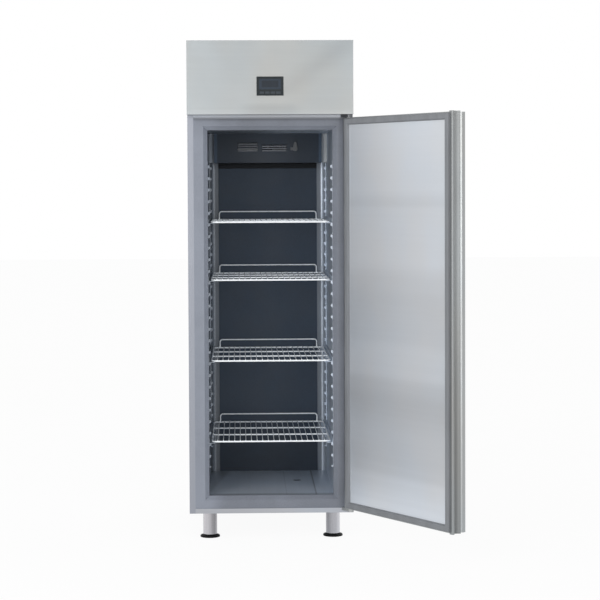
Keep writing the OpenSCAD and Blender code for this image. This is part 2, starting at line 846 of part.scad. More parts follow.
// Hermetic compressor: a domed shell on a foot plate, with its terminal cover
module compressor() {
    r = comp_d / 2;
    dome = 34;
    z = comp_z;
    cover_w = 44;
    cover_out = 18;
    cover_lift = 52;
    cover_l = 60;
    color("dimgray") translate([comp_x, comp_y, 0]) union() {
        translate([0, 0, z + dome]) cylinder(r = r, h = comp_h - 2 * dome);
        for (s = [[z + dome, -1], [z + comp_h - dome, 1]])
            translate([0, 0, s[0]]) mirror([0, 0, s[1] < 0 ? 1 : 0]) rotate_extrude() intersection() {
                union() {
                    square([r - dome, dome]);
                    translate([r - dome, 0]) circle(r = dome);
                }
                square([r, dome]);
            }
        translate([0, 0, z + comp_h / 2 + 4]) cylinder(r = r + 3, h = 5);
        slab([-foot_x - 14, -foot_y - 14, z], [foot_x + 14, foot_y + 14, z + 3]);
        slab([-cover_w / 2, -r - cover_out, z + cover_lift], [cover_w / 2, 0, z + cover_lift + cover_l]);
        translate([hot_x - comp_x, hot_y - comp_y, z + comp_h - dome]) cylinder(d = pipe_d + 3, h = dome);
        translate([suction_x - comp_x, cold_y - comp_y, z + comp_h - dome])
            cylinder(d = pipe_d + 3, h = dome + 6);
    }
}

// Rubber grommets between the compressor's foot plate and the deck
module compressor_grommets() {
    color("black") for (sx = [-1, 1]) for (sy = [-1, 1])
        translate([comp_x + sx * foot_x, comp_y + sy * foot_y, deck_z]) {
            cylinder(d = 22, h = comp_z - deck_z - 4);
            cylinder(d = 16, h = comp_z - deck_z);
        }
}

// Condenser coil
module condenser_coil() {
    finned_coil(cond_x - cond_w / 2, cond_y, cond_z, cond_w, cond_d, cond_h, cond_fins, 3, cond_rows, cond_z,
        cond_z + cond_h);
}

// Frame round the condenser with the fan's orifice
module condenser_shroud() {
    x0 = cond_x - cond_w / 2 - 3;
    x1 = cond_x + cond_w / 2 + 3;
    z1 = cond_z + cond_h + 4;
    color("gray") difference() {
        slab([x0, cond_y - 2, deck_z], [x1, cond_y1, z1]);
        slab([x0 - 1, cond_y - 3, cond_z], [x1 + 1, cond_y + cond_d + 4, z1 - 4]);
        slab([x0 + 2, cond_y, cond_z], [x1 - 2, cond_y1 - 2, z1 - 4]);
        translate([cond_x, cond_y1 - 4, cond_zf]) rotate([-90, 0, 0]) cylinder(d = cond_fan_d + 8, h = 8);
    }
}

// Fan motor on three arms over the orifice
module condenser_motor() {
    ring = cond_fan_d / 2 + 10;
    back = 18;
    arm_t = 3;
    arm_w = 14;
    motor_d = 74;
    motor_l = 44;
    color("dimgray") translate([cond_x, cond_y1, cond_zf]) union() {
        translate([0, back, 0]) rotate([-90, 0, 0]) cylinder(d = motor_d, h = motor_l);
        translate([0, -fan_in - 2, 0]) rotate([-90, 0, 0]) cylinder(d = shaft_d, h = back + fan_in + 4);
        for (k = [0 : 2]) rotate([0, 90 + k * 120, 0]) {
            slab([motor_d / 4, back, -arm_w / 2], [ring, back + arm_t, arm_w / 2]);
            slab([ring - arm_t, 0, -arm_w / 2], [ring, back + arm_t, arm_w / 2]);
        }
    }
}
module condenser_fan() {
    color("black") axial_fan(cond_x, cond_y1 - fan_in, cond_zf, cond_fan_d, 26, 44, shaft_d + 2 * run, 5);
}

// Refrigerant pipes: hot gas to the condenser, liquid through the drier, suction from the evaporator
module refrigerant_pipes() {
    top = comp_z + comp_h;
    cross_z = top + 36;
    x_in = cond_x + cond_w / 2 + tube_out;
    y_in = cond_y + cond_d / 6;
    y_out = cond_y + cond_d * 5 / 6;
    z_in = cond_z + cond_h * (1 - 0.5 / cond_rows);
    z_out = cond_z + cond_h * 0.5 / cond_rows;
    x_drier = x_in + 26;
    x_coil = coil_x0 + coil_w + tube_out;
    z_coil = cover_z + coil_lift + coil_h * (1 - 0.5 / evap_rows);
    bend_r = 2 * pipe_d;
    drier_y = y_out + 60;
    cone = 12;
    drier_l = 100;
    color("peru") {
        bent_rod([[hot_x, hot_y, top], [hot_x, hot_y, z_in], [hot_x, y_in, z_in], [x_in, y_in, z_in]], pipe_d,
            bend_r);
        bent_rod([[x_in, y_out, z_out], [x_drier, y_out, z_out], [x_drier, drier_y, z_out]], pipe_d, bend_r);
        translate([x_drier, drier_y, z_out]) rotate([-90, 0, 0]) {
            cylinder(d1 = pipe_d, d2 = drier_d, h = cone);
            translate([0, 0, cone]) cylinder(d = drier_d, h = drier_l - 2 * cone);
            translate([0, 0, drier_l - cone]) cylinder(d1 = drier_d, d2 = pipe_d, h = cone);
        }
        bent_rod([[x_drier, drier_y + drier_l, z_out], [x_drier, liquid_y, z_out], [liquid_x, liquid_y, z_out],
            [liquid_x, liquid_y, z_coil], [x_coil, liquid_y, z_coil]], pipe_d, bend_r);
        bent_rod([[suction_x, cold_y, top + 6], [suction_x, cold_y, cross_z], [suction_x, suction_y, cross_z],
            [suction_x, suction_y, z_coil], [x_coil, suction_y, z_coil]], pipe_d, bend_r);
    }
}

// Lidded box of the terminals and the relay behind the controller
module electrical_box() {
    color("lightslategray") union() {
        slab([elec_x, elec_y, deck_z], [elec_x + elec_w, elec_y + elec_d, deck_z + elec_h]);
        slab([elec_x - lid_over, elec_y - lid_over, deck_z + elec_h],
            [elec_x + elec_w + lid_over, elec_y + elec_d + lid_over, deck_z + elec_h + lid_h]);
    }
}

// Gland of the supply lead in the rear grille
module cable_gland() {
    color("black") translate([gland_x, yr, gland_z]) rotate([-90, 0, 0]) difference() {
        union() {
            translate([0, 0, -thread_l]) cylinder(d = thread_d, h = thread_l);
            cylinder(d = 26, h = hex_h);
            translate([0, 0, hex_h]) cylinder(d = 22, h = cap_h);
        }
        translate([0, 0, -thread_l - 1]) cylinder(d = lead_d, h = thread_l + hex_h + cap_h + 2);
    }
}

// Controller

// Bezel in the fascia's cut-out, with the window's seat and the keys' ways
module controller_bezel() {
    y0 = yf - proud;
    z = deck_z + ctl_z;
    color("black") translate([0, y0, z]) difference() {
        union() {
            slab([-ctl_w / 2, -3, -ctl_h / 2], [ctl_w / 2, 0, ctl_h / 2]);
            slab([-ctl_w / 2 + 5, -1, -ctl_h / 2 + 5], [ctl_w / 2 - 5, 34, ctl_h / 2 - 5]);
        }
        slab([-win_w / 2, -4, win_z0], [win_w / 2, -1, win_z1]);
        slab([-ctl_w / 2 + 6.5, 6, -ctl_h / 2 + 6.5], [ctl_w / 2 - 6.5, 35, ctl_h / 2 - 6.5]);
        for (k = [0 : 3])
            slab([key_x(k) - seat, -4, key_z0 - seat], [key_x(k) + key_w + seat, 7, key_z0 + key_h + seat]);
    }
}
module controller_window() {
    color("dimgray") translate([0, yf - proud, deck_z + ctl_z])
        slab([-win_w / 2, -2.6, win_z0], [win_w / 2, -1, win_z1]);
}

// A key: its cap stands before the bezel and its flange lies behind the bezel's wall
module key(k) {
    color("gray") translate([0, yf - proud, deck_z + ctl_z]) union() {
        slab([key_x(k), -3 - key_travel - 0.6, key_z0], [key_x(k) + key_w, 7, key_z0 + key_h]);
        slab([key_x(k) - 1.6, 6 + seat, key_z0 - 1.2], [key_x(k) + key_w + 1.6, 7.6, key_z0 + key_h + 1.2]);
    }
}
module key_1() key(0);
module key_2() key(1);
module key_3() key(2);
module key_4() key(3);

// Hinges

// Plan of a hinge bracket: a plate screwed on the casing's front, rounded about the pin
module bracket_plan() {
    nose = hinge_inset - 1;
    translate([hinge_x, hinge_y]) circle(r = nose);
    polygon([[hinge_x - nose, hinge_y], [hinge_x - 36, yf], [hw, yf], [hw, hinge_y + 4],
        [hinge_x + nose, hinge_y]]);
}
module hinge_bracket(z0, pin_z) {
    union() {
        upright(z0, z0 + bracket_h) bracket_plan();
        translate([hinge_x, hinge_y, pin_z]) cylinder(d = pin_d, h = pin_l + door_gap);
    }
}
module hinge_bracket_lower() {
    color("silver") hinge_bracket(bracket_z, bracket_z + bracket_h);
}
module hinge_bracket_upper() {
    color("dimgray") hinge_bracket(deck_z - bracket_h, deck_z - bracket_h - door_gap - pin_l);
}

// Legs and feet

// Leg tube with a closed end that carries the foot's threaded socket
module leg(x, y) {
    z0 = pad_h + leg_gap;
    translate([x, y, 0]) difference() {
        translate([0, 0, z0]) cylinder(d = leg_d, h = cab_z - z0);
        translate([0, 0, z0 + leg_end]) cylinder(d = leg_d - 2 * leg_wall, h = cab_z - z0 - leg_end - 3);
        translate([0, 0, z0 - 1]) cylinder(d = spindle_d + 2 * run, h = leg_end + 2);
    }
}
module legs() {
    color("lightgray") for (sx = [-1, 1]) for (sy = [-1, 1])
        leg(sx * (hw - foot_inset_x), sy * (cab_d / 2 - foot_inset_y));
}

// Foot: a flared pad with an upright rim and its spindle
module foot(sx, sy) {
    r = pad_d / 2;
    rim_h = 5;
    color("black") translate([sx * (hw - foot_inset_x), sy * (cab_d / 2 - foot_inset_y), 0]) union() {
        rotate_extrude() polygon([[0, 0], [r, 0], [r, rim_h], [r - 2, rim_h + 2], [leg_d / 2 + 1, pad_h - 2],
            [leg_d / 2 - 1, pad_h], [0, pad_h]]);
        translate([0, 0, pad_h - 1]) cylinder(d = spindle_d, h = spindle_l);
    }
}
module foot_front_left() foot(-1, -1);
module foot_front_right() foot(1, -1);
module foot_rear_left() foot(-1, 1);
module foot_rear_right() foot(1, 1);

// Door

// Turns the closed door about its pins to where it stands open
module opened() {
    translate([hinge_x, hinge_y, 0]) rotate(door_open) translate([-hinge_x, -hinge_y, 0]) children();
}

// Plan of the door's outer pan, with the finger groove folded into the free edge: flat beside the grip,
// then sloping out to the door's front edge
module pan_plan() {
    y1 = yf + door_in;
    y0 = yf + door_out;
    polygon([[-door_hw, y0], [door_hw, y0], [door_hw, y1], [groove_x, y1], [groove_x, slope_y],
        [-door_hw, y0 + edge_t]]);
}

// Outer pan of the door in sheet
module door_skin() {
    color("gainsboro") opened() difference() {
        upright(door_z0, door_z1) pan_plan();
        upright(door_z0 + sheet, door_z1 - sheet) core_plan();
        slab([groove_x + rim_w, yf + door_in - 2, door_z0 + rim_end],
            [door_hw - rim_w, yf + door_in + 1, door_z1 - rim_end]);
        bush_bores();
    }
}

// Plan of the insulation inside the pan
module core_plan() {
    y1 = yf + door_in - sheet;
    y0 = yf + door_out + sheet;
    x0 = -door_hw + sheet;
    g = groove_x + sheet;
    lean = sheet * slope_lean;
    polygon([[x0, y0], [door_hw - sheet, y0], [door_hw - sheet, y1], [g, y1], [g, slope_y - lean],
        [x0, yf + door_out + edge_t - lean]]);
}
module door_core() {
    color("khaki") opened() difference() {
        upright(door_z0 + sheet, door_z1 - sheet) core_plan();
        bush_bores();
    }
}

// Inner lining of the door, let into the rim of the pan
module door_liner() {
    color("lightsteelblue") opened()
        slab([groove_x + rim_w, yf + door_in - sheet, door_z0 + rim_end],
            [door_hw - rim_w, yf + door_in, door_z1 - rim_end]);
}

// Block on the door's inner face, y0 to y1 from it and inset by a0 and a1 from the seal's outer edge
module seal_block(y0, y1, a0, a1) {
    x = door_hw - seal_inset;
    z0 = door_z0 + seal_end;
    z1 = door_z1 - seal_end;
    p = [for (s = [[y0, a0], [y1, a1]]) each [[-x + s[1], s[0], z0 + s[1]], [x - s[1], s[0], z0 + s[1]],
        [x - s[1], s[0], z1 - s[1]], [-x + s[1], s[0], z1 - s[1]]]];
    translate([0, yf + door_in, 0])
        polyhedron(p, [[3, 2, 1, 0], [4, 5, 6, 7], [0, 1, 5, 4], [1, 2, 6, 5], [2, 3, 7, 6], [3, 0, 4, 7]]);
}

// Ring of the seal's width, whose outer and inner edges lean together from inset a0 to a1
module seal_ring(y0, y1, a0, a1) {
    difference() {
        seal_block(y0, y1, a0, a1);
        seal_block(y0, y1, seal_w - a0, seal_w - a1);
    }
}

// Magnetic seal round the door's inner face: foot, bellows and magnet strip, hollow along its middle
module door_seal() {
    h = seal_gap - seat;
    foot_h = 1.5;
    wall = 1.6;
    strip_h = 3.4;
    color("dimgray") opened() difference() {
        union() {
            seal_ring(0, foot_h, 0, 0);
            seal_ring(foot_h, 2 * foot_h, 0, 3);
            seal_ring(2 * foot_h, h - 1, 3, 4);
            seal_ring(h - 1, h, 4, 5);
        }
        seal_ring(wall, h - strip_h, 6, 7);
    }
}

// Grip profile along the free edge, full height: the lip, and the plate that lines most of the groove
module door_grip() {
    y1 = yf + door_in;
    x0 = -door_hw;
    c = 3;
    t = 1.5;
    h = sqrt(slope_l * slope_l + groove_d * groove_d);
    x = groove_x - grip_reach * groove_d;
    y = slope_y - grip_reach * slope_l;
    color("silver") opened() upright(door_z0 - grip_over, door_z1 + grip_over)
        polygon([[x0 + c, groove_y], [groove_x - t, groove_y], [groove_x - t, slope_y + t * slope_lean],
            [x - t * slope_l / h, y + t * groove_d / h], [x, y], [groove_x, slope_y], [groove_x, y1],
            [x0 + c, y1], [x0, y1 - c], [x0, groove_y + c]]);
}

// Bushes pressed into the door's ends, with a flange that runs on the brackets
module bush_bores() {
    d = pin_d + 2 * bush_wall + 2 * run;
    for (z = [[door_z0 - 1, pin_l + 3], [door_z1 - pin_l - 2, pin_l + 3]])
        translate([hinge_x, hinge_y, z[0]]) cylinder(d = d, h = z[1]);
}
module bush() {
    difference() {
        union() {
            cylinder(d = pin_d + 2 * bush_wall, h = pin_l + 2);
            translate([0, 0, -bush_flange]) cylinder(d = pin_d + 4 * bush_wall, h = bush_flange);
        }
        translate([0, 0, -bush_flange - 1]) cylinder(d = pin_d + 2 * run, h = pin_l + 2 + bush_flange);
    }
}
module door_bushes() {
    color("ivory") {
        translate([hinge_x, hinge_y, door_z0]) bush();
        translate([hinge_x, hinge_y, door_z1]) mirror([0, 0, 1]) bush();
    }
}

side_panel_left();
side_panel_right();
rear_panel();
base_pan();
roof_deck();
foam_body();
liner_sides();
liner_back();
liner_ceiling();
liner_floor();
breaker_frame();
air_duct_panel();
posts_left();
posts_right();
runners_left();
runners_right();
evaporator_cover();
evaporator_coil();
evaporator_motor();
evaporator_fan();
drip_tray();
interior_lamp();
fascia_panel();
controller_bezel();
controller_window();
key_1();
key_2();
key_3();
key_4();
rear_grille();
compressor();
compressor_grommets();
condenser_coil();
condenser_shroud();
condenser_motor();
condenser_fan();
refrigerant_pipes();
electrical_box();
cable_gland();
hinge_bracket_upper();
hinge_bracket_lower();
legs();
foot_front_left();
foot_front_right();
foot_rear_left();
foot_rear_right();
shelf_1();
shelf_2();
shelf_3();
shelf_4();
hoop_1();
hoop_2();
hoop_3();
hoop_4();
door_skin();
door_liner();
door_core();
door_seal();
door_grip();
door_bushes();
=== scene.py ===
"""Finishes, small fittings and stage of the upright refrigerator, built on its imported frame."""

import math

import bpy
from bpy.props import FloatProperty, FloatVectorProperty, IntProperty, PointerProperty
from mathutils import Matrix, Vector


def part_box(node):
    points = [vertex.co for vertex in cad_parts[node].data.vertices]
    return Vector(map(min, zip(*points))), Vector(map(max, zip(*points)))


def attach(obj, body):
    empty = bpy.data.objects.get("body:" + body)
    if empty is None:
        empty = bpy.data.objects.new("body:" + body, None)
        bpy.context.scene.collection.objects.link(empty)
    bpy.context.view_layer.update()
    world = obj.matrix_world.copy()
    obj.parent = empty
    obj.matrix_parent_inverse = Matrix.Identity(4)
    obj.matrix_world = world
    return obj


bl_info = {
    "name": "Upright refrigerator",
    "version": (1, 1, 0),
    "blender": (4, 5, 0),
    "location": "View3D > Sidebar > Refrigerator",
    "description": "Finishes, fittings and stage of an upright catering refrigerator",
    "category": "Object",
}

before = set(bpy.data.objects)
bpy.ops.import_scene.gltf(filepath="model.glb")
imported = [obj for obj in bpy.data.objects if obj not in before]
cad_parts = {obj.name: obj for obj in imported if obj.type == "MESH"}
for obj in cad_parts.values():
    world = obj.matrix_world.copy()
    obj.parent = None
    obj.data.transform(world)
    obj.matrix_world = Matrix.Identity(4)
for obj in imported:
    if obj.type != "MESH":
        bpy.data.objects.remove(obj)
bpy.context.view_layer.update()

# Angle at which the door stands open
DOOR_TURN = math.radians(124)

# Inlet slots of the evaporator cover, in metres: height of the first above the cover's lower edge,
# pitch, and for each block the name of its lips, left end, width and number of slots
FIRST_SLOT = 0.058
SLOT_PITCH = 0.010
SLOT_BLOCKS = (("louvre_lips_left", -0.138, 0.092, 4), ("louvre_lips_right", -0.028, 0.114, 3))

# Lips of the slots: width that they stay short of their slot, and depth through the sheet
LIP_PLAY = 0.004
LIP_DEPTH = 0.007

# Dark foam strip below the cover, standing in as painted shadow of the cover
SHADOW_STRIP_HEIGHT = 0.024
SHADOW_STRIP_DEPTH = 0.004

# Closing strips beside the cover: distance behind its front and from its ends, and for each strip
# its name, side and tone, lighter on the right as painted light and darker on the left as painted
# shade
CLOSING_BACK = 0.006
CLOSING_PLAY = 0.001
CLOSING_STRIPS = (("cover_strip_left", -1, 0.8), ("cover_strip_right", 1, 1.9))

# Shelves: their number, radius of the edge rods, number of long wires and of cross rods, and width,
# depth and height of a weld bead as shares of its radius
SHELVES = 4
ROD_R = 0.0035
WIRES = 20
CROSS_RODS = 4
BEAD_SHAPE = (1.25, 1.25, 0.6)

# Rear screws: distance from the sheet's side edges, height of a head, radius and height of a washer
# as shares of its head's, distance of the outermost screws from the ends of the panel and of the
# grille, and number of screws in each row of the grille
SCREW_EDGE = 0.011
SCREW_HEIGHT = 0.0022
WASHER_RADIUS = 1.45
WASHER_HEIGHT = 0.5
PANEL_END = 0.05
GRILLE_END = 0.02
GRILLE_SCREWS = 4

# Display behind the controller's window: distance from the sides, the lower and the upper edge
DISPLAY_SIDE = 0.011
DISPLAY_BELOW = 0.009
DISPLAY_ABOVE = 0.007

# Where painted shade begins: y at the front edge of the side sheets, which is painted darker,
# and z at the lower edge of the roof deck's lip, which is painted dark as shadow
FRONT_EDGE_SHADE = (-0.366, -0.372)
DECK_LIP_SHADOW = (1.798, 1.7915)

# Painted light, shade and reflections along an axis, as points of (place in metres, change)
COVER_SIDE_LIGHT = ((-0.233, 0.35), (-0.229, -0.46), (0.229, -0.46), (0.233, 0.5))
REAR_SHADE = ((-0.2, -0.32), (0.2, -0.12), (0.244, -0.1), (0.25, 0.1))
DOOR_REFLECTIONS = (
    (0.183, 0.23), (0.21, 0.18), (0.283, 0.10), (0.333, -0.02), (0.383, -0.06), (0.457, -0.07),
    (0.62, -0.17), (0.682, -0.115), (0.735, 0.0), (0.832, 0.0), (0.882, -0.055), (1.03, -0.06),
    (1.106, -0.02), (1.206, 0.09), (1.40, 0.10), (1.431, 0.05), (1.49, 0.15), (1.76, 0.2),
)
GRIP_LIGHT_AND_SHADE = ((0.706, 0.35), (0.7115, -0.27), (0.716, -0.27), (0.728, 0.05), (0.736, -0.1))
LEG_REFLECTIONS = (
    (-0.294, 0.4), (-0.288, 0.5), (-0.278, 0.32), (-0.266, 0.1), (-0.252, -0.28), (-0.244, -0.33),
    (-0.238, -0.05), (-0.2, -0.1), (0.2, -0.1), (0.236, -0.15), (0.243, -0.31), (0.25, -0.25),
    (0.256, -0.12), (0.27, 0.0), (0.276, 0.1), (0.283, 0.35), (0.29, 0.5),
)

# Camera: frame in pixels, sensor in millimetres, focal length and middle of the view in pixels of
# that frame, share of the frame by which the view is shifted up, place in metres, turns about the
# vertical, the horizontal and its own axis in degrees, and how far it sees in metres
FRAME_PX = 600
SENSOR_MM = 36
FOCAL_PX = 1752.3
MIDDLE_PX = 283.4
SHIFT_UP = -0.0794
CAMERA_AT = (-0.1307, -7.8157, 1.489)
CAMERA_TURNS = (-1.428, -2.061, -0.256)
CAMERA_REACH = 200

# Lamps: place and size of each in metres, and the point that they face
LEFT_LAMP = ((-3.1, -7.6, 1.7), (2.0, 3.0))
RIGHT_LAMP = ((3.0, -7.6, 1.7), (2.0, 3.0))
KEY_LAMP = ((-3.4, -4.8, 3.2), (3.0, 3.0))
LAMP_AIM = (0, 0, 1.1)

WHITE = (1, 1, 1, 1)


# Shader trees


class Port:
    """An output socket of a shader tree. Arithmetic on it adds Math nodes."""

    def __init__(self, bench, socket):
        self.bench = bench
        self.socket = socket

    def __add__(self, other):
        return self.bench.math("ADD", self, other)

    def __radd__(self, other):
        return self.bench.math("ADD", other, self)

    def __sub__(self, other):
        return self.bench.math("SUBTRACT", self, other)

    def __rsub__(self, other):
        return self.bench.math("SUBTRACT", other, self)

    def __mul__(self, other):
        return self.bench.math("MULTIPLY", self, other)

    def __rmul__(self, other):
        return self.bench.math("MULTIPLY", other, self)

    def ramp(self, low, high, to_low=0.0, to_high=1.0):
        """Smooth step from to_low where the value is low to to_high where it is high."""
        return self.bench.node(
            "ShaderNodeMapRange",
            {"interpolation_type": "SMOOTHSTEP"},
            {0: self, 1: low, 2: high, 3: to_low, 4: to_high},
        )

    def spread(self, to_low=0.0, to_high=1.0):
        """A noise, most of which lies between 0.3 and 0.7, spread from to_low to to_high."""
        return self.ramp(0.3, 0.7, to_low, to_high)

    def along(self, *points):
        """Value of a soft curve through points of (at, value)."""
        total = points[0][1]
        for (low, start), (high, end) in zip(points, points[1:]):
            total = total + self.ramp(low, high, 0.0, end - start)
        return total

    def band(self, low, high, soft):
        """1 between low and high, fading out over soft to either side of each."""
        return self.ramp(low - soft, low + soft) * self.ramp(high - soft, high + soft, 1.0, 0.0)


class Bench:
    """A shader tree under construction, that of a new material where a name is given."""

    def __init__(self, name=None, tree=None):
        self.tree = tree
        if name:
            self.material = bpy.data.materials.new(name)
            self.material.use_nodes = True
            self.tree = self.material.node_tree
            self.shader = self.tree.nodes["Principled BSDF"]

    def node(self, kind, settings=None, sockets=None, out=0):
        """Adds a node with its settings, and the values or links of its sockets."""
        made = self.tree.nodes.new(kind)
        for key, value in (settings or {}).items():
            setattr(made, key, value)
        for key, value in (sockets or {}).items():
            self.feed(made.inputs[key], value)
        return Port(self, made.outputs[out])

    def feed(self, socket, value):
        """Links a value of the tree to a socket, or sets the socket to a plain value."""
        if isinstance(value, Port):
            self.tree.links.new(value.socket, socket)
        else:
            socket.default_value = value

    def math(self, operation, a, b):
        return self.node("ShaderNodeMath", {"operation": operation}, {0: a, 1: b})

    def mix(self, a, b, factor):
        """Mix of two colours, whose sockets are 6 and 7 on this node and its result output 2."""
        return self.node("ShaderNodeMix", {"data_type": "RGBA"}, {0: factor, 6: a, 7: b}, out=2)

    def shades(self, colour, change):
        """A colour from half as light where change is 0 to half as light again where it is 1."""
        return self.mix(tone(colour, 0.5), tone(colour, 1.5), change)

    def place(self, scale=(1, 1, 1), turn=0.0, move=(0, 0, 0)):
        """Object coordinates, turned about Z, moved and scaled."""
        at = self.node("ShaderNodeTexCoord", out=3)
        if turn:
            at = self.node("ShaderNodeMapping", {}, {0: at, 2: (0, 0, -turn)})
        return self.node("ShaderNodeMapping", {}, {0: at, 1: move, 3: scale})

    def noise(self, at, scale=1.0, detail=2.0, rough=0.5):
        """A soft noise between 0 and 1 at the given coordinates."""
        sockets = {"Vector": at, "Scale": scale, "Detail": detail, "Roughness": rough}
        return self.node("ShaderNodeTexNoise", {}, sockets)

    def axis(self, at, k):
        """x, y or z of a vector, for k of 0, 1 or 2."""
        return self.node("ShaderNodeSeparateXYZ", {}, {0: at}, out=k)

    def bump(self, height, strength, distance):
        """Feeds a bump of the given height into the shader's normal."""
        sockets = {"Height": height, "Strength": strength, "Distance": distance}
        self.feed(self.shader.inputs["Normal"], self.node("ShaderNodeBump", {}, sockets))

    def finish(self, colour=None, roughness=None, **fixed):
        """Feeds what varies into the shader and sets what is the same all over on its sockets."""
        if colour is not None:
            self.feed(self.shader.inputs["Base Color"], colour)
        if roughness is not None:
            self.feed(self.shader.inputs["Roughness"], roughness)
        for key, value in fixed.items():
            self.feed(self.shader.inputs[key.replace("_", " ")], value)
        return self.material


def tone(colour, factor):
    """A colour made lighter or darker."""
    return tuple(min(1.0, c * factor) for c in colour[:3]) + (1.0,)


def lean(colour, share):
    """A colour leaned towards blue, or towards yellow where share is negative."""
    return (colour[0] * (1 - share), colour[1], min(1.0, colour[2] * (1 + share)), 1.0)


def brushed_steel(
    name,
    colour,
    roughness,
    along=2,
    turn=0.0,
    cloud=0.06,
    streak=0.04,
    metal=1.0,
    tint=0.02,
    shade=None,
    patch=None,
):
    """Brushed sheet: fine grain along one axis, soft clouding and faint handling marks.

    along is the axis of the grain and turn its angle about Z. cloud, streak and tint say how
    strongly the clouding, the streaks and the hue vary. shade is a function of the bench and its
    object coordinates that gives one more change of tone. patch is a second colour with such a
    function for its share.
    """
    bench = Bench(name)
    at = bench.place()
    fine = [520.0, 520.0, 520.0]
    fine[along] = 5.0
    grain = bench.noise(bench.place(fine, turn), 1.0, 3.0, 0.6)
    coarse = [70.0, 70.0, 70.0]
    coarse[along] = 1.4
    streaks = bench.noise(bench.place(coarse, turn), 1.0, 2.0, 0.5)
    clouds = bench.noise(bench.place((2.1, 2.1, 1.3), turn, (3.1, 0.7, 1.9)), 1.0, 2.0, 0.45)
    tints = bench.noise(bench.place((3.3, 3.3, 2.2), turn, (7.7, 1.3, 4.2)), 1.0, 2.0, 0.5).spread()
    change = grain.spread(-streak / 2, streak / 2) + streaks.spread(-streak / 2, streak / 2)
    change = change + clouds.spread(-cloud / 2, cloud / 2)
    if shade:
        change = change + shade(bench, at)
    warm, cool = lean(colour, -tint), lean(colour, tint)
    dark = bench.mix(tone(warm, 0.5), tone(cool, 0.5), tints)
    light = bench.mix(tone(warm, 1.5), tone(cool, 1.5), tints)
    smears = bench.noise(bench.place((7.0, 7.0, 4.0), turn), 1.0, 3.0, 0.55)
    rough = grain.ramp(0.2, 0.8, roughness - 0.04, roughness + 0.04)
    rough = rough + smears.ramp(0.45, 0.8, 0.0, 0.05)
    base = bench.mix(dark, light, change + 0.5)
    if patch:
        base = bench.mix(base, patch[0], patch[1](bench, at))
    bench.bump(grain, 0.12, 0.0001)
    return bench.finish(base, rough, Metallic=metal)


def moulded_plastic(name, colour, roughness, shade=None, shine=0.5):
    """Moulded plastic: a fine spark-eroded texture and slightly polished patches."""
    bench = Bench(name)
    at = bench.place()
    fine = bench.noise(at, 300.0, 2.0, 0.6)
    patches = bench.noise(at, 9.0, 3.0, 0.5)
    change = fine.spread(0.44, 0.56) + patches.spread(-0.05, 0.05)
    if shade:
        change = change + shade(bench, at)
    bench.bump(fine, 0.25, 0.00012)
    rough = patches.spread(roughness - 0.05, roughness + 0.06)
    return bench.finish(bench.shades(colour, change), rough, Specular_IOR_Level=shine)


def rubber(name, colour, shade=None):
    """Soft extruded profile with a dull bloom along its length."""
    bench = Bench(name)
    bloom = bench.noise(bench.place((26, 26, 5)), 1.0, 3.0, 0.55)
    fine = bench.noise(bench.place(), 420.0, 2.0, 0.5)
    change = bloom.spread(0.42, 0.58)
    if shade:
        change = change + shade(bench, bench.place())
    bench.bump(fine, 0.2, 0.0001)
    return bench.finish(bench.shades(colour, change), bloom.spread(0.5, 0.66))


def zinc_sheet(name, colour):
    """Galvanised sheet: grey spangle of frozen zinc."""
    bench = Bench(name)
    cells = bench.node("ShaderNodeTexVoronoi", {}, {"Vector": bench.place(), "Scale": 55.0}, out=1)
    grey = bench.axis(cells, 0)  # red of each cell's random colour
    base = bench.mix(tone(colour, 0.82), tone(colour, 1.16), grey)
    return bench.finish(base, grey.ramp(0.0, 1.0, 0.36, 0.52), Metallic=1.0)


def coated_wire(name, colour):
    """Plastic-coated wire: smooth skin with slow waves in the thickness of the coat."""
    bench = Bench(name)
    waves = bench.noise(bench.place(), 60.0, 2.0, 0.5)
    base = bench.mix(tone(colour, 0.98), tone(colour, 1.05), waves.spread())
    bench.bump(waves, 0.15, 0.0003)
    return bench.finish(base, waves.spread(0.26, 0.36), Coat_Weight=0.6)


def drawn_tube(name, colour, roughness):
    """Drawn copper tube with a dull, spotted skin."""
    bench = Bench(name)
    spots = bench.noise(bench.place(), 70.0, 4.0, 0.6)
    base = bench.mix(tone(colour, 0.55), tone(colour, 1.1), spots.ramp(0.3, 0.6))
    return bench.finish(base, spots.spread(roughness + 0.15, roughness), Metallic=1.0)


def enamel(name, colour):
    """Stoved enamel with orange peel."""
    bench = Bench(name)
    peel = bench.noise(bench.place(), 150.0, 1.0, 0.5)
    base = bench.mix(tone(colour, 0.9), tone(colour, 1.15), peel.spread())
    bench.bump(peel, 0.2, 0.0003)
    return bench.finish(base, 0.3, Coat_Weight=0.4, Coat_Roughness=0.12)


def foam(name, colour, scale=240.0):
    """Foam: closed cells under a skin."""
    bench = Bench(name)
    cells = bench.node("ShaderNodeTexVoronoi", {}, {"Vector": bench.place(), "Scale": scale})
    base = bench.mix(tone(colour, 0.8), tone(colour, 1.05), cells.ramp(0.0, 0.6))
    bench.bump(cells, 0.4, 0.0006)
    return bench.finish(base, 0.85)


def dark_glass(name, colour):
    """Smoked window of the controller, with the faint edge of its display behind."""
    bench = Bench(name)
    low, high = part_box("controller_window")
    at = bench.place()
    across = bench.axis(at, 0).band(low.x + DISPLAY_SIDE, high.x - DISPLAY_SIDE, 0.001)
    upright = bench.axis(at, 2).band(low.z + DISPLAY_BELOW, high.z - DISPLAY_ABOVE, 0.001)
    dust = bench.noise(at, 45.0, 3.0, 0.6)
    base = bench.mix(tone(colour, 1.0), tone(colour, 0.55), across * upright)
    base = bench.mix(base, tone(colour, 2.2), dust.ramp(0.5, 0.9, 0.0, 0.12))
    rough = dust.ramp(0.4, 0.8, 0.08, 0.18)
    return bench.finish(base, rough, Specular_IOR_Level=0.35, Coat_Weight=0.2, Coat_Roughness=0.05)


# Geometry trees


def add_object(name, data):
    """A new object of the scene, at the origin, that holds data."""
    made = bpy.data.objects.new(name, data)
    bpy.context.scene.collection.objects.link(made)
    return made


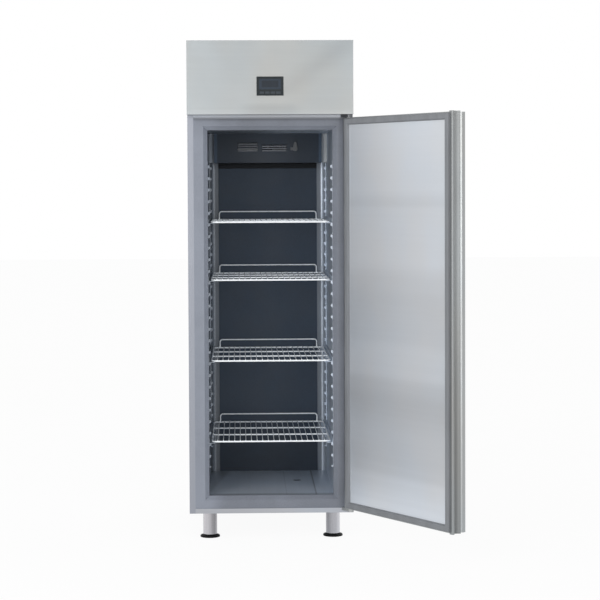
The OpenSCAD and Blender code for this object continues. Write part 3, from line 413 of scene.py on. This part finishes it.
class Works:
    """A Geometry Nodes tree under construction, with its sizes as named inputs."""

    def __init__(self, name, **sizes):
        self.name = name
        self.tree = bpy.data.node_groups.new(name, "GeometryNodeTree")
        sockets = self.tree.interface
        sockets.new_socket("Geometry", in_out="OUTPUT", socket_type="NodeSocketGeometry")
        kinds = {int: "NodeSocketInt", float: "NodeSocketFloat"}
        self.values = {}
        for label, value in sizes.items():
            kind = kinds.get(type(value), "NodeSocketVector")
            made = sockets.new_socket(label, in_out="INPUT", socket_type=kind)
            self.values[made.identifier] = value
        self.given = self.tree.nodes.new("NodeGroupInput")

    def size(self, label):
        """The value of a named input."""
        return self.given.outputs[label]

    def feed(self, socket, value):
        """Links another socket to a socket, or sets it to a plain value."""
        if isinstance(value, bpy.types.NodeSocket):
            self.tree.links.new(value, socket)
        else:
            socket.default_value = value

    def node(self, kind, **sockets):
        """Adds a node with the values or links of its sockets, where _ stands for a space."""
        made = self.tree.nodes.new(kind)
        for key, value in sockets.items():
            self.feed(made.inputs[key.replace("_", " ")], value)
        return made.outputs[0]

    def vector(self, x=0.0, y=0.0, z=0.0):
        return self.node("ShaderNodeCombineXYZ", X=x, Y=y, Z=z)

    def math(self, operation, a, b):
        made = self.tree.nodes.new("ShaderNodeMath")
        made.operation = operation
        self.feed(made.inputs[0], a)
        self.feed(made.inputs[1], b)
        return made.outputs[0]

    def join(self, *parts):
        made = self.tree.nodes.new("GeometryNodeJoinGeometry")
        for part in parts:
            self.tree.links.new(part, made.inputs[0])
        return made.outputs[0]

    def move(self, part, **how):
        """A part moved, turned or scaled, by Translation, Rotation or Scale."""
        return self.node("GeometryNodeTransform", Geometry=part, **how)

    def smooth(self, part):
        return self.node("GeometryNodeSetShadeSmooth", Geometry=part)

    def row(self, start, step, count):
        """Points in a row."""
        sockets = {"Count": count, "Start_Location": start, "Offset": step}
        return self.node("GeometryNodeMeshLine", **sockets)

    def instances(self, points, shape):
        """A shape set on each point."""
        return self.node("GeometryNodeInstanceOnPoints", Points=points, Instance=shape)

    def make(self, part, material):
        """Ends the tree, runs it and gives its result as a plain mesh object at the origin."""
        real = self.node("GeometryNodeRealizeInstances", Geometry=part)
        dressed = self.node("GeometryNodeSetMaterial", Geometry=real, Material=material)
        end = self.tree.nodes.new("NodeGroupOutput")
        self.tree.links.new(dressed, end.inputs[0])
        made = add_object(self.name, bpy.data.meshes.new(self.name))
        run = made.modifiers.new("shape", "NODES")
        run.node_group = self.tree
        for key, value in self.values.items():
            run[key] = value
        graph = bpy.context.evaluated_depsgraph_get()
        mesh = bpy.data.meshes.new_from_object(made.evaluated_get(graph))
        mesh.name = self.name
        made.modifiers.clear()
        made.data = mesh
        return made


def ribs(name, material, place, width, height, depth, pitch=0.01, count=1):
    """Ribs of oval section, sunk by half into a wall that faces the front, one above the other."""
    sizes = {"Width": width, "Height": height, "Depth": depth, "Pitch": pitch}
    works = Works(name, **sizes, Count=count, Place=place)
    half = works.math("MULTIPLY", works.size("Width"), 0.5)
    left = works.vector(works.math("MULTIPLY", half, -1.0))
    run = works.node("GeometryNodeCurvePrimitiveLine", Start=left, End=works.vector(half))
    arc = works.node("GeometryNodeCurvePrimitiveCircle", Resolution=12, Radius=0.5)
    bar = works.node("GeometryNodeCurveToMesh", Curve=run, Profile_Curve=arc, Fill_Caps=True)
    scale = works.vector(1.0, works.size("Depth"), works.size("Height"))
    rib = works.smooth(works.move(bar, Scale=scale))
    rise = works.vector(0.0, 0.0, works.size("Pitch"))
    line = works.row(works.size("Place"), rise, works.size("Count"))
    return works.make(works.instances(line, rib), material)


def cove_strip(name, material, wall_x, cover_x, y, z0, z1, sheet=0.001, steps=10):
    """Upright closing strip: a hollow quarter round between the side wall and the cover's side.

    wall_x and cover_x are the places that it joins, y is its front, and z0 and z1 are its ends.
    """
    side = 1 if wall_x > cover_x else -1
    radius = abs(wall_x - cover_x)
    turns = [k * math.pi / 2 / steps for k in range(steps + 1)]
    outer = [(radius * math.sin(t), radius * math.cos(t)) for t in turns]
    inner = [((radius - sheet) * math.sin(t), (radius - sheet) * math.cos(t)) for t in turns]
    section = outer + inner[::-1]
    count = len(section)
    points = [(cover_x + side * a, y + b, z) for z in (z0, z1) for a, b in section]
    faces = [(k, (k + 1) % count, count + (k + 1) % count, count + k) for k in range(count)]
    for k in range(steps):
        quad = (k, k + 1, count - 2 - k, count - 1 - k)
        faces += [quad[::-1], tuple(count + q for q in quad)]
    if side > 0:
        faces = [face[::-1] for face in faces]
    mesh = bpy.data.meshes.new(name)
    mesh.from_pydata(points, [], faces)
    mesh.materials.append(material)
    return add_object(name, mesh)


def weld_beads(name, material, start, step, count, rows, radius):
    """Beads where the long wires are welded to the cross rods: one row for each y in rows."""
    works = Works(name, Start=start, Step=step, Count=count, Radius=radius)
    ball = works.node("GeometryNodeMeshIcoSphere", Radius=works.size("Radius"), Subdivisions=1)
    bead = works.smooth(works.move(ball, Scale=BEAD_SHAPE))
    line = works.row(works.size("Start"), works.vector(works.size("Step")), works.size("Count"))
    lines = [works.move(line, Translation=(0.0, y, 0.0)) for y in rows]
    return works.make(works.instances(works.join(*lines), bead), material)


def screw_rows(name, material, rows, radius, height, turn):
    """Pan-head screws on washers, in rows of (start, step, count). turn sets them on their face."""
    works = Works(name, Radius=radius, Height=height)
    radius, height = works.size("Radius"), works.size("Height")
    dome = works.node("GeometryNodeMeshUVSphere", Segments=10, Rings=5, Radius=radius)
    flat = works.vector(1.0, 1.0, works.math("DIVIDE", height, radius))
    head = works.smooth(works.move(dome, Scale=flat))
    rim = works.math("MULTIPLY", radius, WASHER_RADIUS)
    thick = works.math("MULTIPLY", height, WASHER_HEIGHT)
    washer = works.node("GeometryNodeMeshCylinder", Vertices=12, Radius=rim, Depth=thick)
    screw = works.move(works.join(head, washer), Rotation=turn)
    lines = [works.row(start, step, count) for start, step, count in rows]
    return works.make(works.instances(works.join(*lines), screw), material)


# Settings


def colour(name, description, value):
    """A colour setting, from red, green and blue."""
    return FloatVectorProperty(
        name=name,
        description=description,
        subtype="COLOR",
        size=4,
        min=0,
        max=1,
        default=value + (1,),
    )


class FinishSettings(bpy.types.PropertyGroup):
    """Colours of the finishes, in linear light."""

    casing: colour("Casing steel", "Brushed sheet of the casing and the door", (0.385, 0.40, 0.402))
    # Darker and bluer than the casing, as painted shade on the front edges of the side sheets
    edge: colour("Casing edges", "Front edges of the casing's side sheets", (0.30, 0.315, 0.355))
    pans: colour("Pan steel", "Sheet of the base pan, roof deck and grille", (0.385, 0.403, 0.44))
    lining: colour("Lining steel", "Sheet of the inner lining", (0.44, 0.49, 0.56))
    door_lining: colour("Door lining", "Sheet on the inside of the door", (0.56, 0.585, 0.62))
    moulding: colour("Front frame", "Moulding round the door opening", (0.215, 0.235, 0.28))
    panel: colour("Duct panel", "Air duct panel and evaporator cover", (0.030, 0.047, 0.073))
    legs: colour("Leg tube", "Polished tube of the legs", (0.405, 0.402, 0.425))
    wire: colour("Shelf wire", "Coat of the shelf wires", (0.90, 0.935, 0.98))
    seal: colour("Door seal", "Magnetic seal of the door", (0.20, 0.21, 0.225))
    black: colour("Black plastic", "Controller bezel and feet", (0.012, 0.012, 0.013))
    grain: FloatProperty(
        name="Sheen",
        description="Roughness of the brushed sheets",
        subtype="FACTOR",
        min=0.1,
        max=0.8,
        default=0.34,
    )


class FittingSettings(bpy.types.PropertyGroup):
    """Sizes of the small fittings."""

    bead: FloatProperty(
        name="Weld bead",
        description="Radius of a weld bead on the shelves",
        unit="LENGTH",
        min=0.001,
        max=0.003,
        default=0.0021,
    )
    screw: FloatProperty(
        name="Screw head",
        description="Radius of the screw heads at the rear",
        unit="LENGTH",
        min=0.002,
        max=0.006,
        default=0.0038,
    )
    screws: IntProperty(
        name="Screws",
        description="Screws in each upright row of the rear panel",
        min=3,
        max=16,
        default=9,
    )
    lip: FloatProperty(
        name="Louvre lip",
        description="Height of a louvre's lip on the evaporator cover",
        unit="LENGTH",
        min=0.003,
        max=0.009,
        default=0.0062,
    )


class StageSettings(bpy.types.PropertyGroup):
    """Camera, floor and lamps."""

    lens: FloatProperty(
        name="Lens",
        description="Focal length for a 36 mm sensor, in millimetres",
        min=20,
        max=300,
        default=FOCAL_PX * SENSOR_MM / FRAME_PX,
    )
    floor_size: FloatProperty(
        name="Floor",
        description="Side of the floor",
        unit="LENGTH",
        min=4,
        default=60.0,
    )
    floor_white: FloatProperty(
        name="Floor white",
        description="Share of plain white in the floor as seen",
        subtype="FACTOR",
        min=0,
        max=1,
        default=0.93,
    )
    sky: FloatProperty(
        name="Sky",
        description="Strength of the soft light from all round",
        min=0,
        max=2,
        default=0.72,
    )
    front_power: FloatProperty(
        name="Front lamps",
        description="Power of each lamp beside the camera, in watts",
        min=0,
        default=90.0,
    )
    key_power: FloatProperty(
        name="Key lamp",
        description="Power of the lamp on the left, in watts",
        min=0,
        default=60.0,
    )


# Assigning finishes


def dress(material, *nodes):
    """Gives CAD nodes a material in place of the imported one."""
    for name in nodes:
        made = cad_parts[name]
        if not made.material_slots:
            made.data.materials.append(material)
        for slot in made.material_slots:
            slot.material = material


def place_piece(piece, body):
    """A new piece rides on its body."""
    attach(piece, body)


class REF_OT_casing(bpy.types.Operator):
    """Finishes the casing sheets, the fascia and the rear grille"""

    bl_idname = "refrigerator.casing"
    bl_label = "Casing"

    def execute(self, context):
        use = context.scene.refrigerator_finishes
        # The front edges of the side sheets take the darker edge colour as painted shade
        edges = (use.edge, self.front_edge_shade)
        sides = brushed_steel("side_sheet", use.casing, use.grain, patch=edges)
        dress(sides, "side_panel_left", "side_panel_right", "rear_panel")
        fascia = brushed_steel(
            "fascia_sheet",
            use.casing,
            use.grain,
            along=0,
            cloud=0.05,
            streak=0.012,
            tint=0.03,
            shade=self.fascia_reflections,
        )
        dress(fascia, "fascia_panel")
        dress(brushed_steel("pan_sheet", use.pans, use.grain, along=0), "base_pan", "rear_grille")
        deck = brushed_steel("deck_sheet", use.pans, use.grain, along=0, shade=self.deck_lip_shadow)
        dress(deck, "roof_deck")
        moulding = moulded_plastic("front_moulding", use.moulding, 0.42, shade=self.frame_light_and_shadow)
        dress(moulding, "breaker_frame")
        dress(foam("insulation_foam", (0.72, 0.62, 0.38, 1)), "foam_body", "door_core")
        return {"FINISHED"}

    def front_edge_shade(self, bench, at):
        """The side sheets are folded inwards at the front, which is painted in a darker colour as
        shade.
        """
        return bench.axis(at, 1).ramp(*FRONT_EDGE_SHADE)

    def deck_lip_shadow(self, bench, at):
        """Painted shadow: the lower edge of the deck's lip is dark."""
        return bench.axis(at, 2).ramp(*DECK_LIP_SHADOW, 0.0, -0.5)

    def fascia_reflections(self, bench, at):
        """Painted reflections: a slanting dark area on the hinge side and a low dark hill below the
        controller.
        """
        x = bench.axis(at, 0)
        z = bench.axis(at, 2)
        slant = (x - z * 1.3 + 2.41).band(-0.05, 0.05, 0.07) * z.ramp(1.86, 1.93)
        hill = z.ramp(1.86, 1.83) * x.band(-0.11, 0.11, 0.04)
        # Painted light along the lower edge, and painted shade towards the right
        foot = z.ramp(1.83, 1.81, 0.0, 0.05)
        return slant * -0.08 - hill * 0.1 + foot + x.ramp(0.0, 0.3, 0.0, -0.07)

    def frame_light_and_shadow(self, bench, at):
        """Painted light on the side away from the hinges, and painted shadow under the deck's lip.
        """
        side = bench.axis(at, 0).ramp(-0.265, -0.2, 0.01, -0.23)
        return side + bench.axis(at, 2).ramp(1.775, 1.787, 0.0, -0.22)


class REF_OT_lining(bpy.types.Operator):
    """Finishes the inner lining, the air duct panel and the evaporator cover"""

    bl_idname = "refrigerator.lining"
    bl_label = "Lining"

    def execute(self, context):
        use = context.scene.refrigerator_finishes
        rough = use.grain + 0.04
        sides = brushed_steel("lining_sheet", use.lining, rough, metal=0.5, shade=self.sides)
        dress(sides, "liner_sides", "liner_ceiling")
        # A lighter copy of the lining colour, painted as highlights in the rounded coves
        corners = (tone(use.lining, 1.7), self.corners)
        # A darker copy of the lining colour for the rear, as painted shade deep in the cabinet
        grey = tone(use.lining, 0.4)
        rear = brushed_steel(
            "lining_rear_sheet",
            grey,
            rough,
            metal=0.5,
            shade=self.rear,
            patch=corners,
        )
        dress(rear, "liner_back")
        floor = brushed_steel(
            "lining_floor_sheet",
            use.lining,
            rough,
            along=1,
            cloud=0.14,
            metal=0.4,
            shade=self.floor,
        )
        dress(floor, "liner_floor")
        duct = moulded_plastic("duct_sheet", use.panel, 0.45, shade=self.duct, shine=0.3)
        dress(duct, "air_duct_panel")
        grey = tone(use.panel, 1.1)
        cover = moulded_plastic("cover_sheet", grey, 0.45, shade=self.cover, shine=0.35)
        dress(cover, "evaporator_cover")
        self.closing_strips(use, rough)
        dress(moulded_plastic("lamp_case", (0.085, 0.092, 0.10, 1), 0.35), "interior_lamp")
        return {"FINISHED"}

    def closing_strips(self, use, rough):
        """Closes the gaps between the cover and the side walls."""
        low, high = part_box("evaporator_cover")
        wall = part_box("posts_right")[1].x
        y = low.y + CLOSING_BACK
        ends = (low.z + CLOSING_PLAY, high.z - CLOSING_PLAY)
        for name, side, light in CLOSING_STRIPS:
            x = low.x if side < 0 else high.x
            # Each strip is a copy of the lining colour, made lighter or darker as painted light and
            # shade
            strip = brushed_steel(f"{name}_sheet", tone(use.lining, light), rough, metal=0.0)
            made = cove_strip(name, strip, side * wall, x, y, *ends)
            place_piece(made, "cabinet")

    def cover(self, bench, at):
        """Painted light: the cover is lighter along both sides."""
        return bench.axis(at, 0).along(*COVER_SIDE_LIGHT)

    def sides(self, bench, at):
        """Painted light and shade: the right side is lighter than the left, most of all towards the
        rear.
        """
        right = bench.axis(at, 0).ramp(-0.1, 0.1)
        return right * bench.axis(at, 1).ramp(-0.08, 0.15, 0.5, 0.9) - 0.45

    def rear(self, bench, at):
        """Painted shade: the strips beside the air duct are darker, most of all on the left."""
        return bench.axis(at, 0).along(*REAR_SHADE)

    def corners(self, bench, at):
        """Painted highlights in the rounded coves behind the posts, strongest at the top on the
        right.
        """
        x = bench.axis(at, 0)
        rise = bench.axis(at, 2).ramp(1.1, 1.6, 0.5, 0.85)
        return x.ramp(-0.247, -0.253, 0.0, 0.1) + x.ramp(0.245, 0.252) * rise

    def floor(self, bench, at):
        """Painted light and shade: lighter towards the door, with painted shadow along the left
        wall, at both folds, at the drain and along the front edge.
        """
        x = bench.axis(at, 0)
        y = bench.axis(at, 1)
        folds = x.band(0.065, 0.067, 0.003) * -0.35 + x.band(0.191, 0.196, 0.003) * -0.7
        wall_shadow = (x - y * 0.14 + 0.225).ramp(-0.014, 0.014, -0.3, 0.0)
        drain = x.band(0.107, 0.137, 0.006) * y.band(0.016, 0.056, 0.006) * -0.9
        edge = y.ramp(-0.29, -0.31, 0.0, -0.45)
        return y.ramp(0.3, -0.34, 0.0, 0.26) + folds + wall_shadow + drain + edge

    def duct(self, bench, at):
        """Painted shade: the duct panel is darker near the floor."""
        return bench.axis(at, 2).ramp(0.2, 0.55, -0.4, 0.0)


class REF_OT_louvres(bpy.types.Operator):
    """Adds the lips of the evaporator cover's inlet slots and a dark foam strip below the cover, as
    painted shadow
    """

    bl_idname = "refrigerator.louvres"
    bl_label = "Louvre lips and foam strip"

    def execute(self, context):
        lip = context.scene.refrigerator_fittings.lip
        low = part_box("evaporator_cover")[0]
        z = low.z + FIRST_SLOT - lip / 2
        plastic = moulded_plastic("louvre_moulding", (0.20, 0.21, 0.23, 1), 0.4)
        for name, x, width, count in SLOT_BLOCKS:
            place = (x + width / 2, low.y, z)
            size = (width - LIP_PLAY, lip, LIP_DEPTH)
            made = ribs(name, plastic, place, *size, SLOT_PITCH, count)
            place_piece(made, "cabinet")
        # The dark foam strip stands in for the cover's shadow on the duct panel
        low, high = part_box("air_duct_panel")
        place = ((low.x + high.x) / 2, low.y, high.z - SHADOW_STRIP_HEIGHT / 2)
        black = foam("shadow_strip_foam", (0.016, 0.018, 0.022, 1), 700.0)
        strip = ribs("shadow_strip", black, place, high.x - low.x, SHADOW_STRIP_HEIGHT, SHADOW_STRIP_DEPTH)
        place_piece(strip, "cabinet")
        return {"FINISHED"}


class REF_OT_shelving(bpy.types.Operator):
    """Finishes the posts, the runners and the wire shelves, and adds the shelves' weld beads"""

    bl_idname = "refrigerator.shelving"
    bl_label = "Shelving"

    def execute(self, context):
        use = context.scene.refrigerator_finishes
        rough = use.grain + 0.06
        rack = brushed_steel("rack_sheet", use.lining, rough, metal=0.5, shade=self.posts)
        dress(rack, "posts_left", "posts_right", "runners_left", "runners_right")
        coat = coated_wire("wire_coat", use.wire)
        bead = context.scene.refrigerator_fittings.bead
        for k in range(1, SHELVES + 1):
            dress(coat, f"shelf_{k}", f"hoop_{k}")
            low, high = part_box(f"shelf_{k}")
            step = (high.x - low.x - 2 * ROD_R) / (WIRES + 1)
            start = (low.x + ROD_R + step, 0.0, low.z + 2 * ROD_R)
            front, back = low.y + ROD_R, high.y - ROD_R
            rows = [front + (back - front) * n / (CROSS_RODS - 1) for n in range(CROSS_RODS)]
            made = weld_beads(f"weld_beads_{k}", coat, start, step, WIRES, rows, bead)
            place_piece(made, f"rack_{k}")
        return {"FINISHED"}

    def posts(self, bench, at):
        """Painted light and shade: the posts on the left are darker than those on the right."""
        return bench.axis(at, 0).ramp(-0.1, 0.1, -0.4, 0.3)


class REF_OT_cooling(bpy.types.Operator):
    """Finishes the coils, fans, pipes and the compressor"""

    bl_idname = "refrigerator.cooling"
    bl_label = "Cooling unit"

    def execute(self, context):
        use = context.scene.refrigerator_finishes
        dress(zinc_sheet("fin_sheet", (0.62, 0.63, 0.64, 1)), "evaporator_coil", "condenser_coil")
        zinc = zinc_sheet("zinc_bracket", (0.40, 0.41, 0.42, 1))
        dress(zinc, "condenser_shroud", "condenser_motor", "evaporator_motor")
        dress(moulded_plastic("fan_moulding", use.black, 0.4), "evaporator_fan", "condenser_fan")
        dress(moulded_plastic("tray_moulding", (0.55, 0.56, 0.57, 1), 0.4), "drip_tray")
        dress(enamel("compressor_enamel", (0.014, 0.014, 0.015, 1)), "compressor")
        dress(rubber("grommet_rubber", (0.02, 0.02, 0.02, 1)), "compressor_grommets")
        dress(drawn_tube("copper_tube", (0.72, 0.36, 0.22, 1), 0.3), "refrigerant_pipes")
        dress(moulded_plastic("box_moulding", (0.32, 0.33, 0.34, 1), 0.5), "electrical_box")
        dress(moulded_plastic("gland_moulding", use.black, 0.4), "cable_gland")
        return {"FINISHED"}


class REF_OT_screws(bpy.types.Operator):
    """Adds the screws of the rear panel and the rear grille"""

    bl_idname = "refrigerator.screws"
    bl_label = "Rear screws"

    def execute(self, context):
        use = context.scene.refrigerator_fittings
        zinc = zinc_sheet("screw_zinc", (0.55, 0.55, 0.54, 1))
        turn = (math.pi / 2, 0.0, 0.0)
        panel = ("rear_panel", use.screws, PANEL_END)
        grille = ("rear_grille", GRILLE_SCREWS, GRILLE_END)
        for node, count, end in (panel, grille):
            low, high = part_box(node)
            rise = (0.0, 0.0, (high.z - low.z - 2 * end) / (count - 1))
            sides = (low.x + SCREW_EDGE, high.x - SCREW_EDGE)
            rows = [((x, high.y, low.z + end), rise, count) for x in sides]
            made = screw_rows(f"{node}_screws", zinc, rows, use.screw, SCREW_HEIGHT, turn)
            place_piece(made, "cabinet")
        return {"FINISHED"}


class REF_OT_controller(bpy.types.Operator):
    """Finishes the controller's bezel, window and keys"""

    bl_idname = "refrigerator.controller"
    bl_label = "Controller"

    def execute(self, context):
        bezel = moulded_plastic("bezel_moulding", (0.011, 0.016, 0.019, 1), 0.3, shine=0.3)
        dress(bezel, "controller_bezel")
        dress(dark_glass("display_window", (0.019, 0.030, 0.046, 1)), "controller_window")
        keys = moulded_plastic("key_moulding", (0.040, 0.049, 0.060, 1), 0.4, shine=0.3)
        dress(keys, "key_1", "key_2", "key_3", "key_4")
        return {"FINISHED"}


class REF_OT_door(bpy.types.Operator):
    """Finishes the door, its grip, seal, bushes and hinges"""

    bl_idname = "refrigerator.door"
    bl_label = "Door"

    def execute(self, context):
        use = context.scene.refrigerator_finishes
        dress(brushed_steel("door_sheet", use.casing, use.grain, turn=DOOR_TURN), "door_skin")
        lining = brushed_steel(
            "door_lining_sheet",
            use.door_lining,
            use.grain + 0.08,
            along=0,
            turn=DOOR_TURN,
            cloud=0.04,
            streak=0.012,
            metal=0.55,
            shade=self.lining_reflections,
        )
        dress(lining, "door_liner")
        # The grip is a darker copy of the casing colour, as painted shade
        dark = tone(use.casing, 0.55)
        grip = brushed_steel("grip_profile", dark, use.grain, metal=0.7, shade=self.grip_light_and_shade)
        dress(grip, "door_grip")
        dress(rubber("seal_profile", use.seal, self.seal_edge), "door_seal")
        dress(moulded_plastic("bush_moulding", (0.75, 0.73, 0.66, 1), 0.4), "door_bushes")
        dress(brushed_steel("hinge_plate", use.casing, use.grain), "hinge_bracket_lower")
        # The upper bracket is dark grey as painted shadow under the fascia
        dress(zinc_sheet("hinge_dark", (0.16, 0.165, 0.175, 1)), "hinge_bracket_upper")
        return {"FINISHED"}

    def lining_reflections(self, bench, at):
        """Painted reflections: slow light and dark streaks across the sheet, at set heights."""
        return bench.axis(at, 2).along(*DOOR_REFLECTIONS)

    def grip_light_and_shade(self, bench, at):
        """Painted light on the lip, painted shade in the crease beside it, and a lighter slope out
        to the door's front.
        """
        return bench.axis(at, 0).along(*GRIP_LIGHT_AND_SHADE)

    def seal_edge(self, bench, at):
        """The seal is dark in the shade of the grip."""
        return bench.axis(at, 0).ramp(0.683, 0.692, 0.0, -0.4)


class REF_OT_stand(bpy.types.Operator):
    """Finishes the legs and the levelling feet"""

    bl_idname = "refrigerator.stand"
    bl_label = "Legs and feet"

    def execute(self, context):
        use = context.scene.refrigerator_finishes
        dress(brushed_steel("leg_tube", use.legs, use.grain - 0.12, shade=self.leg_reflections), "legs")
        plastic = moulded_plastic("foot_moulding", tone(use.black, 0.4), 0.45, shine=0.12)
        for end in ("front", "rear"):
            dress(plastic, f"foot_{end}_left", f"foot_{end}_right")
        return {"FINISHED"}

    def leg_reflections(self, bench, at):
        """Painted reflections: upright light and dark streaks round the polished tubes."""
        return bench.axis(at, 0).along(*LEG_REFLECTIONS)


class REF_OT_stage(bpy.types.Operator):
    """Adds the floor, the light and the camera"""

    bl_idname = "refrigerator.stage"
    bl_label = "Stage"

    def execute(self, context):
        use = context.scene.refrigerator_stage
        self.floor(use)
        self.world(context.scene, use)
        self.lamp("front_lamp_left", *LEFT_LAMP, use.front_power)
        self.lamp("front_lamp_right", *RIGHT_LAMP, use.front_power)
        self.lamp("key_lamp", *KEY_LAMP, use.key_power)
        self.camera(context.scene, use)
        context.scene.view_settings.view_transform = "Standard"
        return {"FINISHED"}

    def camera(self, scene, use):
        """Camera that sees the refrigerator as the photograph does."""
        camera = bpy.data.cameras.new("camera")
        camera.lens = use.lens
        camera.sensor_width = SENSOR_MM
        camera.shift_x = (FRAME_PX / 2 - MIDDLE_PX) / FRAME_PX
        camera.shift_y = SHIFT_UP
        camera.clip_end = CAMERA_REACH
        yaw, pitch, roll = CAMERA_TURNS
        turn = Matrix.Rotation(math.radians(yaw), 4, "Z")
        turn = turn @ Matrix.Rotation(math.radians(90 + pitch), 4, "X")
        turn = turn @ Matrix.Rotation(math.radians(roll), 4, "Z")
        placed = add_object("camera", camera)
        placed.matrix_world = Matrix.Translation(CAMERA_AT) @ turn
        scene.camera = placed

    def floor(self, use):
        """A white floor that fades into the background where it is seen directly."""
        mesh = bpy.data.meshes.new("floor")
        s = use.floor_size / 2
        mesh.from_pydata([(-s, -s, 0), (s, -s, 0), (s, s, 0), (-s, s, 0)], [], [(0, 1, 2, 3)])
        made = add_object("floor", mesh)
        bench = Bench("floor_paint")
        patches = bench.noise(bench.place(), 1.2, 2.0, 0.5)
        base = bench.mix(tone(WHITE, 0.92), tone(WHITE, 0.95), patches.spread())
        mesh.materials.append(bench.finish(base, 0.9))
        white = bench.tree.nodes.new("ShaderNodeEmission")
        factor = self.seen_directly(bench) * use.floor_white
        self.blend(bench.tree, factor.socket, bench.shader, white, "Material Output")

    def seen_directly(self, bench):
        """1 for rays from the camera, from glossy surfaces and through clear ones."""
        path = bench.tree.nodes.new("ShaderNodeLightPath")
        seen = Port(bench, path.outputs["Is Camera Ray"])
        for name in ("Is Glossy Ray", "Is Transmission Ray"):
            seen = bench.math("MAXIMUM", seen, Port(bench, path.outputs[name]))
        return seen

    def blend(self, tree, factor, first, second, end):
        """Mixes the shaders of two nodes into the surface of the tree's end."""
        mixed = tree.nodes.new("ShaderNodeMixShader")
        tree.links.new(factor, mixed.inputs[0])
        tree.links.new(first.outputs[0], mixed.inputs[1])
        tree.links.new(second.outputs[0], mixed.inputs[2])
        tree.links.new(mixed.outputs[0], tree.nodes[end].inputs["Surface"])

    def world(self, scene, use):
        """Even light from all round, and plain white where the camera sees past the floor."""
        world = bpy.data.worlds.new("studio")
        world.use_nodes = True
        bench = Bench(tree=world.node_tree)
        light = bench.tree.nodes["Background"]
        light.inputs["Color"].default_value = WHITE
        light.inputs["Strength"].default_value = use.sky
        plain = bench.tree.nodes.new("ShaderNodeBackground")
        plain.inputs["Color"].default_value = WHITE
        factor = self.seen_directly(bench)
        self.blend(bench.tree, factor.socket, light, plain, "World Output")
        scene.world = world

    def lamp(self, name, at, size, power):
        """A rectangular lamp that faces the middle of the cabinet."""
        data = bpy.data.lights.new(name, "AREA")
        data.shape = "RECTANGLE"
        data.size, data.size_y = size
        data.energy = power
        made = add_object(name, data)
        made.location = at
        aim = Vector(LAMP_AIM) - Vector(at)
        made.rotation_euler = aim.to_track_quat("-Z", "Y").to_euler()


STEPS = (
    REF_OT_casing,
    REF_OT_lining,
    REF_OT_louvres,
    REF_OT_shelving,
    REF_OT_cooling,
    REF_OT_screws,
    REF_OT_controller,
    REF_OT_door,
    REF_OT_stand,
    REF_OT_stage,
)


class REF_PT_panel(bpy.types.Panel):
    """Lists the steps and the settings"""

    bl_idname = "REF_PT_panel"
    bl_label = "Refrigerator"
    bl_space_type = "VIEW_3D"
    bl_region_type = "UI"
    bl_category = "Refrigerator"

    def draw(self, context):
        scene = context.scene
        groups = (
            scene.refrigerator_finishes,
            scene.refrigerator_fittings,
            scene.refrigerator_stage,
        )
        for group in groups:
            box = self.layout.box()
            for name in type(group).__annotations__:
                box.prop(group, name)
        for step in STEPS:
            self.layout.operator(step.bl_idname)


CLASSES = (FinishSettings, FittingSettings, StageSettings, *STEPS, REF_PT_panel)


def register():
    for made in CLASSES:
        bpy.utils.register_class(made)
    bpy.types.Scene.refrigerator_finishes = PointerProperty(type=FinishSettings)
    bpy.types.Scene.refrigerator_fittings = PointerProperty(type=FittingSettings)
    bpy.types.Scene.refrigerator_stage = PointerProperty(type=StageSettings)


def unregister():
    del bpy.types.Scene.refrigerator_stage
    del bpy.types.Scene.refrigerator_fittings
    del bpy.types.Scene.refrigerator_finishes
    for made in reversed(CLASSES):
        bpy.utils.unregister_class(made)


def main():
    register()
    for step in STEPS:
        group, name = step.bl_idname.split(".")
        getattr(getattr(bpy.ops, group), name)()


if __name__ == "__main__":
    main()
